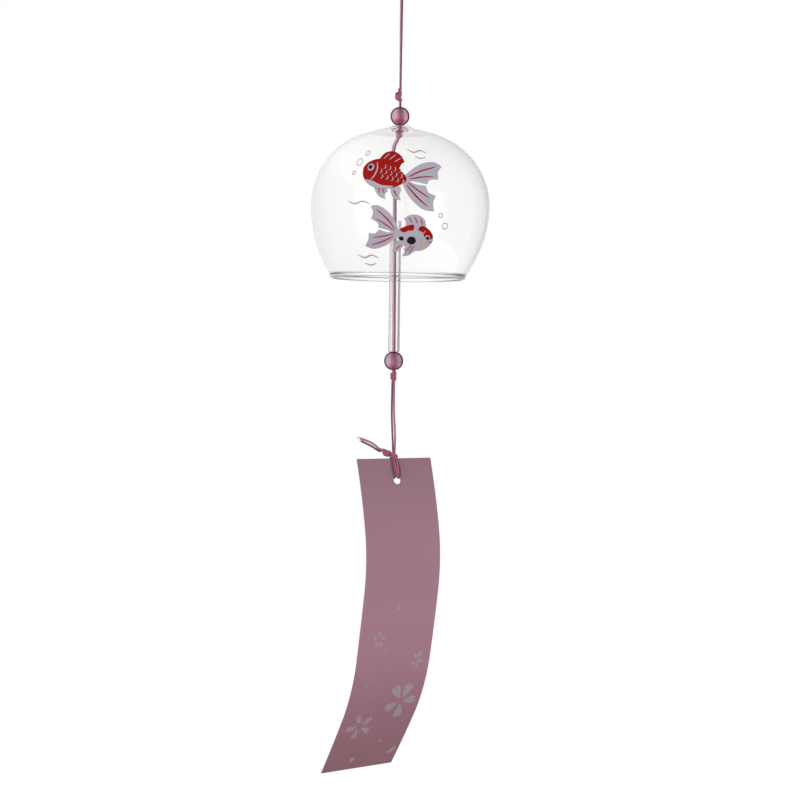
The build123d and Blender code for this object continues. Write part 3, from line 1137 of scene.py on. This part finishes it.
def card_point(across, down, lift=0.0):
    """A point of the card, lift mm in front of its middle, in the bell's frame."""
    index = min(len(card_line) - 2, max(0, int(down / CARD_STEP)))
    share = down / CARD_STEP - index
    (y0, z0), (y1, z1) = card_line[index], card_line[index + 1]
    heading = heading_at(down)
    twist = TWIST * (max(0.0, down - TWIST_START) / (STRIP_LENGTH - TWIST_START)) ** 1.5
    aside = across * math.cos(twist) - lift * math.sin(twist)
    front = lift * math.cos(twist) + across * math.sin(twist)
    y = y0 + (y1 - y0) * share - front * math.cos(heading)
    z = z0 + (z1 - z0) * share + front * math.sin(heading)
    return on_strip(aside, y, z)


# %% [markdown]
# ## Card stock
# Dyed card has a matt face with fine fibres in it. A fine noise gives the fibres, a broad
# one the slight unevenness of the dye, and a ramp paints light and shade down the card:
# darker at its top and its foot, lightest in its middle.


# %% The card finish
CARD_HEIGHTS = (-223.0 * MM, -365.0 * MM)


def card_finish():
    finish = Finish("mauve_card")
    where = finish.place()
    fibres = finish.noise(finish.stretched(where, 0.25), 2600.0, 3.0, 0.6)
    dye = finish.noise(where, 45.0, 2.0)
    down = finish.slope(finish.axis(where, "Z"), *CARD_HEIGHTS)
    # Painted shade: darker at the top and the foot of the card, lightest in the middle.
    colour = finish.ramp(down + dye * 0.08 - 0.04, [
        (0.0, srgb(157, 117, 132)), (0.22, srgb(170, 129, 146)), (0.48, srgb(182, 135, 152)),
        (0.66, srgb(180, 130, 147)), (0.82, srgb(172, 121, 136)), (1.0, srgb(160, 112, 122)),
    ])
    colour = finish.mix(fibres * 0.3, colour, srgb(186, 146, 160))
    sockets = {
        "Base Color": colour,
        "Roughness": fibres * 0.15 + 0.72,
        "Specular IOR Level": 0.3,
        "Sheen Weight": 0.05,
        "Normal": finish.bump(fibres, 0.02 * MM, 0.35),
    }
    return finish.show(finish.principled(sockets))


mauve_card = card_finish()

# %% [markdown]
# ## The sheet with its hole
# The flat card is a grid with a square left out around the hole, and the gap is closed by
# rings that go from the square to the round hole. Both faces and all edges are made from
# that one pattern, so the card has a real thickness at its edge and inside the hole.

# %% Lay out the flat card
HOLE_BLOCK, ROWS_ABOVE, ROWS_BELOW = 4, 6, 110
BLOCK_TOP = HOLE_DEPTH - HOLE_BLOCK
flat_points, flat_faces, place_of = [], [], {}


def flat_point(across, down):
    """The number of a point of the flat card, which is made once."""
    key = (round(across, 4), round(down, 4))
    if key not in place_of:
        place_of[key] = len(flat_points)
        flat_points.append((across, down))
    return place_of[key]


columns = [-STRIP_WIDTH / 2 + step for step in range(int(STRIP_WIDTH) + 1)]
rows = [BLOCK_TOP * share for share in shares(ROWS_ABOVE)[:-1]]
rows += [BLOCK_TOP + step for step in range(2 * HOLE_BLOCK + 1)]
below = BLOCK_TOP + 2 * HOLE_BLOCK
rows += [below + (STRIP_LENGTH - below) * share for share in shares(ROWS_BELOW)[1:]]
for top, foot in zip(rows, rows[1:]):
    for left, right in zip(columns, columns[1:]):
        aside, off = abs((left + right) / 2), abs((top + foot) / 2 - HOLE_DEPTH)
        if max(aside, off) > HOLE_BLOCK:
            flat_faces.append([
                flat_point(left, top), flat_point(left, foot),
                flat_point(right, foot), flat_point(right, top)])

# %% Close the gap around the hole
border = []
for (x, y), (step_x, step_y) in (
    ((-1, -1), (1, 0)), ((1, -1), (0, 1)), ((1, 1), (-1, 0)), ((-1, 1), (0, -1)),
):
    for step in range(2 * HOLE_BLOCK):
        border.append((HOLE_BLOCK * x + step_x * step, HOLE_BLOCK * y + step_y * step))
rings = []
for share in (0.0, 0.35, 0.7, 1.0):
    ring = []
    for x, y in border:
        size = math.hypot(x, y)
        round_x, round_y = x / size * HOLE_RADIUS, y / size * HOLE_RADIUS
        ring.append(flat_point(
            x + (round_x - x) * share, HOLE_DEPTH + y + (round_y - y) * share))
    rings.append(ring)
for outer, inner in zip(rings, rings[1:]):
    for index in range(len(outer)):
        after = (index + 1) % len(outer)
        flat_faces.append([outer[index], inner[index], inner[after], outer[after]])
print("faces of the flat card:", len(flat_faces))

# %% Bend it, and give it its thickness
half = STRIP_THICK / 2
count = len(flat_points)
vertices = [card_point(x, s, half) for x, s in flat_points]
vertices += [card_point(x, s, -half) for x, s in flat_points]
faces = [tuple(face) for face in flat_faces]
faces += [tuple(count + corner for corner in reversed(face)) for face in flat_faces]
edges = {}
for face in flat_faces:
    for a, b in zip(face, face[1:] + face[:1]):
        edges[(a, b)] = edges.get((a, b), 0) + 1
        edges[(b, a)] = edges.get((b, a), 0)
for (a, b), used in edges.items():
    if used and not edges[(b, a)]:
        faces.append((b, a, count + a, count + b))
strip = add_mesh("strip_card", vertices, faces, mauve_card, "strip")
split = strip.modifiers.new("crisp_edges", "EDGE_SPLIT")
split.split_angle = math.radians(50)
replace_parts(strip, "paper_strip")
print("card points:", count)

# %% [markdown]
# ## Printing
# Print is flat colour with a crisp outline. It is laid on as thin shapes a few hundredths
# of a millimetre in front of the surface: that stays sharp in any close view, where an
# image would blur. Each outline is filled, cut fine enough to bend, and put in its place.


# %% Outlines, strokes, rings and spots
def soft_point(p0, p1, p2, p3, t):
    """A share t of the way from p1 to p2, on a soft curve that also heeds p0 and p3."""
    return tuple(
        0.5 * (2 * b + (c - a) * t + (2 * a - 5 * b + 4 * c - d) * t * t
               + (3 * b - a - 3 * c + d) * t ** 3)
        for a, b, c, d in zip(p0, p1, p2, p3))


def smooth_outline(points, steps=4, sharp=()):
    """A closed curve through the points, as a ring of short runs, with some corners kept."""
    ring = []
    count = len(points)
    for index in range(count):
        p0, p1, p2, p3 = (points[(index + k - 1) % count] for k in range(4))
        if index in sharp:
            p0 = p1
        if (index + 1) % count in sharp:
            p3 = p2
        ring += [soft_point(p0, p1, p2, p3, t) for t in shares(steps)[:-1]]
    return ring


def stroke(points, width, steps=6, taper=True):
    """A brush stroke along a smooth line, thin at both ends."""
    padded = [points[0]] + list(points) + [points[-1]]
    line = []
    for corners in zip(padded, padded[1:], padded[2:], padded[3:]):
        line += [soft_point(*corners, t) for t in shares(steps)[:-1]]
    line.append(points[-1])
    left, right = [], []
    for index, (x, y) in enumerate(line):
        before, after = line[max(0, index - 1)], line[min(len(line) - 1, index + 1)]
        dx, dy = after[0] - before[0], after[1] - before[1]
        size = math.hypot(dx, dy) or 1.0
        share = index / (len(line) - 1)
        swell = math.sin(math.pi * (0.06 + 0.88 * share)) ** 0.6 if taper else 1
        half_width = width / 2 * swell
        left.append((x - dy / size * half_width, y + dx / size * half_width))
        right.append((x + dy / size * half_width, y - dx / size * half_width))
    return left + right[::-1]


def ring_shape(x, y, radius, width):
    """A thin ring, as two halves."""
    shapes = []
    for start in (0, math.pi):
        angles = [start + math.pi * share for share in shares(14)]
        outer = [around(x, y, radius + width / 2, angle) for angle in angles]
        inner = [around(x, y, radius - width / 2, angle) for angle in angles]
        shapes.append(outer + inner[::-1])
    return shapes


def spot(x, y, width):
    """A round dot."""
    return [around(x, y, width / 2, share * math.tau) for share in shares(20)[:-1]]


# %% Fill outlines and lay them on a surface
LONGEST_EDGE = 1.4


def printed(name, outlines, where, lift, finish, body):
    """One piece of print: outlines in mm on a surface that where(x, y, lift) describes."""
    shape = bmesh.new()
    for outline in outlines:
        ring = [shape.verts.new((x, y, 0)) for x, y in outline]
        for corners in tessellate_polygon([[Vector((x, y, 0)) for x, y in outline]]):
            shape.faces.new([ring[index] for index in corners])
    for _ in range(6):
        long_edges = [edge for edge in shape.edges if edge.calc_length() > LONGEST_EDGE]
        if not long_edges:
            break
        bmesh.ops.subdivide_edges(shape, edges=long_edges, cuts=1, use_grid_fill=True)
        bmesh.ops.triangulate(shape, faces=[face for face in shape.faces if len(face.verts) > 3])
    for vertex in shape.verts:
        vertex.co = where(vertex.co.x, vertex.co.y, lift)
    mesh = bpy.data.meshes.new(name)
    shape.to_mesh(mesh)
    shape.free()
    print(name, "faces:", len(mesh.polygons))
    return add_piece(name, mesh, finish, body)


# %% [markdown]
# ## Print inks
# Screen ink dries to an even, slightly glossy film. Each ink is one colour with a faint
# mottle, as the film is never quite the same thickness everywhere.


# %% The ink finish
def ink_finish(name, colour, shade, roughness=0.35):
    """colour and shade are the two tones of the mottle."""
    finish = Finish(name)
    film = finish.noise(finish.place(), 350.0, 3.0)
    sockets = {
        "Base Color": finish.mix(film, shade, colour),
        "Roughness": film * 0.1 + roughness,
        "Specular IOR Level": 0.15,
        "Normal": finish.bump(film, 0.01 * MM, 0.3),
    }
    return finish.show(finish.principled(sockets))


blossom_ink = ink_finish("blossom_ink", srgb(186, 166, 170), srgb(178, 156, 162), 0.6)
red_ink = ink_finish("red_ink", srgb(176, 18, 10), srgb(158, 12, 6))
pale_ink = ink_finish("pale_ink", srgb(198, 190, 204), srgb(188, 180, 196))
black_ink = ink_finish("black_ink", srgb(24, 20, 20), srgb(14, 12, 12))
beige_ink = ink_finish("beige_ink", srgb(214, 190, 164), srgb(204, 178, 152))

# %% [markdown]
# ## Cherry blossoms on the strip
# Blossoms and loose petals drift down the lower half of the card: one large blossom, two
# small ones, and single petals around them. A cherry petal is slender at its foot, widest
# beyond its middle, and has a notch at its tip.

# %% Petals and blossoms
petal_shape = [
    (0.16, 0.0), (0.36, 0.11), (0.60, 0.20), (0.82, 0.21), (1.0, 0.11), (0.85, 0.0),
    (1.0, -0.11), (0.82, -0.21), (0.60, -0.20), (0.36, -0.11),
]


def petal(x, y, tip_x, tip_y, fat=1.0):
    """A petal from its foot to its tip, on the card."""
    dx, dy = tip_x - x, tip_y - y
    points = [(x + a * dx - b * fat * dy, y + a * dy + b * fat * dx) for a, b in petal_shape]
    return smooth_outline(points, sharp=(0, 4, 5, 6))


def blossom(middle, tips, fat):
    """One petal for each tip, around the blossom's middle."""
    return [petal(*middle, *tip, fat) for tip in tips]


blossoms = blossom(
    (9.0, 111.8), [(12.3, 102.6), (17.6, 111.5), (10.5, 121.2), (1.6, 115.9), (3.6, 103.7)], 1.08)
blossoms += blossom(
    (-9.5, 81.0), [(-9.2, 77.0), (-6.0, 80.2), (-7.3, 84.6), (-10.9, 84.6), (-12.7, 80.2)], 1.0)
blossoms += blossom(
    (12.8, 91.6), [(14.8, 87.6), (16.3, 92.4), (13.6, 95.6), (10.1, 94.0), (11.2, 88.3)], 0.95)
blossoms += [
    petal(0.4, 64.6, -1.2, 68.2, 1.1),
    petal(-5.6, 85.4, -4.6, 86.8, 1.8),
    petal(-13.4, 102.2, -12.0, 103.0, 2.0),
    petal(5.9, 133.4, 7.3, 135.2, 1.8),
    petal(-7.1, 142.6, -4.1, 145.0, 1.6),
    petal(12.4, 144.2, 18.6, 139.8, 0.8),
]

# %% A blossom with its stamens, low on the left
low_middle = (-9.0, 124.4)
for degrees in (100, 172, 244, 316, 28):
    tip = around(*low_middle, 7.6, math.radians(degrees))
    blossoms.append(petal(*low_middle, *tip, 0.85))
for degrees in (64, 136, 208, 280, 352):
    foot, tip = (around(*low_middle, reach, math.radians(degrees)) for reach in (1.2, 4.2))
    blossoms.append(stroke([foot, tip], 0.35, taper=False))
    blossoms.append(spot(*tip, 0.9))
PRINT_LIFT = STRIP_THICK / 2 + 0.03
printed("strip_blossoms", blossoms, card_point, PRINT_LIFT, blossom_ink, "strip")

# %% [markdown]
# ## Goldfish on the bell
# The classic painting on a furin: goldfish, with ripples and bubbles. Two fish, one red
# and one pale with red and black patches, swim around each other on the bell's front.
# They are printed on the outside, as thin shapes that follow the wall's curve.

# %% Where a point of the bell's front lies
BELL_PRINT_REACH = 38.0


def wall_radius(height):
    """The bell's outer radius at a height in mm."""
    points = [p for p in outer_face if p[0] > NECK_HOLE + 1]
    for low, high in zip(points, points[1:]):
        if low[1] <= height <= high[1]:
            share = (height - low[1]) / (high[1] - low[1])
            return low[0] + (high[0] - low[0]) * share
    return points[0][0]


def bell_point(across, height, lift=0.0):
    """across mm around from the front's middle, at a height in mm."""
    radius = wall_radius(height)
    angle = across / BELL_PRINT_REACH
    slope = wall_radius(height + 0.5) - wall_radius(height - 0.5)
    size = math.hypot(1, slope)
    reach = radius + lift / size
    aside = blown_aside(height) + reach * math.sin(angle)
    return Vector((aside, -reach * math.cos(angle), height - lift * slope / size)) * MM


print("the wall's radius at the belly:", round(wall_radius(equator_z), 1), "mm")


# %% A goldfish, swimming to the right in its own drawing
fish_body = smooth_outline([
    (9.2, 0.6), (8.2, 2.7), (5.2, 4.7), (1.2, 5.3), (-2.8, 4.2), (-5.8, 2.2), (-7.4, 0.8),
    (-7.4, -0.8), (-5.6, -2.6), (-2.4, -4.6), (1.6, -5.4), (5.4, -4.6), (8.2, -2.2),
], sharp=(0,))
fish_tail_top = smooth_outline([
    (-6.4, 0.9), (-8.6, 4.2), (-12.2, 7.6), (-16.8, 9.4), (-20.0, 8.6), (-18.4, 6.0),
    (-18.8, 3.4), (-15.6, 2.2), (-15.0, 0.4), (-10.8, 0.2), (-7.2, -0.2),
], sharp=(4, 6, 8))
fish_tail_foot = smooth_outline([
    (-7.2, 0.2), (-10.8, -0.6), (-14.6, -0.2), (-16.0, -2.2), (-18.8, -2.6), (-18.6, -5.4),
    (-19.8, -8.2), (-15.6, -8.6), (-11.0, -6.4), (-8.0, -3.6), (-6.4, -1.0),
], sharp=(2, 4, 6))
fish_back_fin = smooth_outline([
    (4.4, 4.7), (3.0, 7.6), (0.0, 9.0), (-3.4, 8.4), (-5.6, 6.2), (-4.6, 5.2), (-4.2, 3.4),
    (0.0, 4.9),
], sharp=(0, 4, 6))
fish_side_fin = smooth_outline([
    (3.4, -2.2), (2.6, -5.4), (0.4, -7.8), (-2.4, -8.6), (-1.8, -6.8), (-2.6, -5.4),
    (-0.6, -4.0), (1.0, -2.4),
], sharp=(0, 3, 5))
fish_rear_fin = smooth_outline([
    (-2.8, -4.2), (-4.6, -7.2), (-7.6, -7.6), (-6.6, -5.8), (-6.8, -4.0), (-5.6, -2.8),
], sharp=(0, 2, 4))
tail_rays = [
    stroke([(-8.0, 1.2), (-12.0, 4.6), (-17.2, 7.6)], 0.5),
    stroke([(-8.4, 0.6), (-12.4, 2.4), (-16.6, 3.8)], 0.45),
    stroke([(-8.4, -0.8), (-12.4, -2.6), (-16.6, -4.0)], 0.45),
    stroke([(-8.0, -1.6), (-12.0, -4.6), (-16.8, -7.2)], 0.5),
]
fin_rays = [
    stroke([(2.6, 5.4), (1.0, 7.9)], 0.35),
    stroke([(0.4, 5.6), (-1.6, 8.0)], 0.35),
    stroke([(-1.8, 5.3), (-3.8, 7.2)], 0.35),
    stroke([(1.8, -3.4), (0.2, -6.8)], 0.35),
    stroke([(0.6, -3.4), (-1.4, -6.6)], 0.35),
    stroke([(-4.0, -4.4), (-6.0, -6.6)], 0.35),
]
scale_marks = []
for row, height in enumerate((2.7, 0.9, -0.9)):
    for column in range(5 if row else 4):
        x = 1.6 - 1.9 * column + (0.95 if row % 2 else 0)
        bow = [around(x, height, 0.8, angle) for angle in (1.9, 2.6, 3.14, 3.7, 4.4)]
        scale_marks.append(stroke(bow, 0.32, 3))
gill_mark = [stroke([(4.6, 3.6), (3.7, 1.4), (3.9, -1.2), (4.8, -3.0)], 0.5)]
mouth_mark = [stroke([(9.0, 0.1), (8.2, -0.5), (7.4, -0.4)], 0.4)]


def drawn(shapes, x, y, turn, size, mirror):
    """Shapes of a drawing, made larger or smaller, turned and put in place on the bell."""
    cosine, sine = math.cos(math.radians(turn)), math.sin(math.radians(turn))
    placed = []
    for shape in shapes:
        ring = []
        for a, b in shape:
            across, rise = a * cosine - b * mirror * sine, a * sine + b * mirror * cosine
            ring.append((x + size * across, y + size * rise))
        placed.append(ring)
    return placed


# %% Place the two fish
red_fish = {"x": -6.5, "y": -100.5, "turn": 166, "size": 1.22, "mirror": -1}
pale_fish = {"x": 6.0, "y": -127.0, "turn": -12, "size": 1.04, "mirror": 1}
white_shapes, red_shapes, black_shapes, beige_shapes = [], [], [], []
fine_white, fine_red = [], []
fins = [fish_tail_top, fish_tail_foot, fish_back_fin, fish_side_fin, fish_rear_fin]

red_shapes += drawn([fish_body, fish_back_fin], **red_fish)
white_shapes += drawn([fish_tail_top, fish_tail_foot, fish_side_fin, fish_rear_fin], **red_fish)
fine_red += drawn(tail_rays + fin_rays[3:], **red_fish)
fine_white += drawn(scale_marks + gill_mark + fin_rays[:3], **red_fish)
belly = smooth_outline([
    (6.6, -3.4), (4.0, -3.2), (0.4, -3.9), (-3.6, -3.3), (-2.4, -4.5), (1.6, -5.3), (5.2, -4.6),
])
fine_white += drawn([belly, spot(6.3, 1.3, 2.6)], **red_fish)
black_shapes += drawn([spot(6.5, 1.3, 1.5)], **red_fish)

white_shapes += drawn([fish_body] + fins, **pale_fish)
fine_red += drawn(tail_rays + fin_rays + mouth_mark, **pale_fish)
cap = smooth_outline([
    (8.4, 2.3), (5.4, 4.6), (2.4, 5.1), (1.4, 3.2), (3.6, 2.6), (5.0, 1.0), (7.6, 0.6),
])
saddle = smooth_outline([
    (-1.2, 4.8), (-4.4, 3.2), (-6.2, 1.6), (-4.2, 0.8), (-2.4, 2.0), (-0.6, 2.6),
])
flank_patch = smooth_outline([
    (0.8, -0.2), (-1.4, -0.4), (-2.0, -2.4), (0.2, -3.2), (1.8, -1.8),
])
rear_patch = smooth_outline([(-4.2, -1.0), (-5.6, -1.4), (-5.0, -2.6), (-3.6, -2.2)])
cheek = smooth_outline([(7.8, -1.8), (6.0, -1.0), (4.8, -2.2), (5.6, -3.8), (7.2, -3.0)])
fine_red += drawn([cap, saddle], **pale_fish)
black_shapes += drawn([flank_patch, rear_patch], **pale_fish)
beige_shapes += drawn([cheek] + gill_mark, **pale_fish)
eye_ring = drawn([spot(6.2, 0.9, 2.4)], **pale_fish)
black_shapes += drawn([spot(6.4, 0.9, 1.4)], **pale_fish)
print("shapes of the two fish:", len(white_shapes + red_shapes + fine_red + fine_white))

# %% Ripples and bubbles
ripples = [
    stroke([(-23.0, -111.6), (-19.8, -113.0), (-16.2, -112.0), (-12.6, -113.2)], 0.7),
    stroke([(-20.6, -134.6), (-17.0, -136.0), (-13.2, -135.0), (-9.6, -136.2)], 0.7),
    stroke([(-17.4, -138.2), (-14.2, -139.2), (-11.2, -138.4)], 0.6),
    stroke([(3.4, -88.8), (6.8, -90.2), (10.4, -89.2), (13.6, -90.4)], 0.7),
    stroke([(7.0, -92.0), (9.8, -92.9), (12.6, -92.2)], 0.6),
]
bubbles = []
for x, y, radius in (
    (-20.0, -94.6, 1.5), (-17.0, -90.6, 1.0), (-21.6, -99.4, 0.8),
    (20.2, -122.0, 1.3), (17.6, -117.6, 0.9),
):
    bubbles += ring_shape(x, y, radius, 0.45)
white_shapes += ripples + bubbles
print("ripples:", len(ripples))

# %% Lay the paint on the bell, layer by layer
PAINT_STEP = 0.03
layers = (
    ("goldfish_pale", white_shapes, 1, pale_ink),
    ("goldfish_red", red_shapes, 2, red_ink),
    ("goldfish_red_marks", fine_red, 3, red_ink),
    ("goldfish_beige_marks", beige_shapes, 3, beige_ink),
    ("goldfish_pale_marks", fine_white + eye_ring, 4, pale_ink),
    ("goldfish_black_marks", black_shapes, 5, black_ink),
)
for name, shapes, layer, finish in layers:
    printed(name, shapes, bell_point, layer * PAINT_STEP, finish, "bell")
print("layers of paint:", len(layers))

# %% [markdown]
# ## Room and light
# A plain studio: a pale floor well under the strip, a white background, a tall soft box to
# the left, a square one to the right and a weak one above. The background is white to the
# camera and through the glass, while the air itself lights the bell at a plain level.
# Clear glass in front of white shows only what it mirrors. So a ray that was mirrored on
# its way meets the room beside the backdrop. That is darker, most of all on the right and
# a little behind, and it has one bright upright patch where the left soft box stands.

# %% The world
DARK_WAY, BRIGHT_WAY = (0.85, -0.2, 0.48), (-0.72, -0.69, 0.0)
world = bpy.data.worlds.new("studio")
world.use_nodes = True
bpy.context.scene.world = world
air = Finish("studio", world.node_tree)
way = air.place("Generated")
height = air.axis(way, "Z")

right_side = air.step(air.towards(way, DARK_WAY), -0.3, 0.95, 1.08, 0.2)
back = air.step(air.axis(way, "Y") - height.absolute() * 0.8, 0.2, 0.98, 1.0, 0.9)
patch = air.step(air.towards(way, BRIGHT_WAY) + height * height * 0.42, 0.93, 1.0, 0.0, 1.2)
room = air.background((1.0, 0.995, 0.99, 1), right_side * back + patch)
mirrored_before = air.ray("Glossy Depth").under(1.0)
backdrop = air.blend(mirrored_before, air.background((1, 1, 1, 1)), room)
overhead = air.ramp(height * 0.5 + 0.5, [
    (0.0, (0.08,) * 3), (0.35, (0.34,) * 3), (0.5, (0.64,) * 3), (0.66, (0.64,) * 3),
    (1.0, (0.34,) * 3)])
seen = air.ray("Is Camera Ray")
for kind in ("Is Glossy Ray", "Is Transmission Ray"):
    seen = seen.over(air.ray(kind))
air.add("OutputWorld", {}, {"Surface": air.blend(seen, air.background(overhead), backdrop)})
print("nodes in the world:", len(air.tree.nodes))


# %% The floor's finish
FLOOR_Z, FLOOR_REACH = -0.6, 0.85
FADE_FROM, FADE_TO = 0.2, FLOOR_REACH * 0.92


def floor_finish():
    finish = Finish("pale_floor")
    where = finish.place()
    reach = finish.add("VectorMath", {"operation": "LENGTH"}, {0: where}, "Value")
    fade = finish.step(reach, FADE_FROM, FADE_TO)
    lit_by_it = finish.ray("Is Diffuse Ray")
    colour = finish.mix(finish.noise(where, 90.0), (0.93, 0.93, 0.93), (0.95, 0.95, 0.95))
    colour = finish.mix(lit_by_it, colour, (0.3, 0.3, 0.3))
    matt = finish.add("BsdfDiffuse", {}, {"Color": colour}, "BSDF")
    glow = finish.add("Emission", {}, {"Color": (1, 1, 1, 1), "Strength": 1.0}, "Emission")
    return finish.show(finish.blend(fade * (1 - lit_by_it), matt, glow))


# %% The floor
floor_mesh = bpy.data.meshes.new("floor")
disc = bmesh.new()
bmesh.ops.create_circle(disc, cap_ends=True, segments=96, radius=FLOOR_REACH)
disc.to_mesh(floor_mesh)
disc.free()
floor_mesh.materials.append(floor_finish())
floor = bpy.data.objects.new("floor", floor_mesh)
floor.location = (0, 0, FLOOR_Z)
bpy.context.scene.collection.objects.link(floor)


# %% The lamps
BELL_MIDDLE = (0.0, 0.0, -0.18)


def lamp(name, azimuth, height, distance, width, tall, power, tint=(1.0, 1.0, 1.0)):
    """A soft box that faces the bell, and that glass doesn't mirror. Azimuth 90 is the right."""
    data = bpy.data.lights.new(name, "AREA")
    data.shape = "RECTANGLE"
    data.size, data.size_y = width, tall
    data.energy = power
    data.color = tint
    holder = bpy.data.objects.new(name, data)
    angle = math.radians(azimuth)
    place = Vector((distance * math.sin(angle), -distance * math.cos(angle), height))
    holder.location = place
    holder.rotation_euler = (Vector(BELL_MIDDLE) - place).to_track_quat("-Z", "Y").to_euler()
    holder.visible_glossy = False
    holder.visible_transmission = False
    bpy.context.scene.collection.objects.link(holder)
    print(name, "watts:", power)


lamp("key_lamp", azimuth=-46, height=-0.10, distance=1.45, width=0.30, tall=1.1, power=7.5,
     tint=(1.0, 0.99, 0.98))
lamp("side_lamp", azimuth=66, height=-0.32, distance=1.35, width=0.6, tall=0.5, power=5.5)
lamp("top_lamp", azimuth=170, height=1.0, distance=0.5, width=0.8, tall=0.8, power=2.0)

# %% [markdown]
# ## Close the scene
# The picture is shown as it is, with Blender's standard view.

# %% The view
bpy.context.scene.view_settings.view_transform = "Standard"
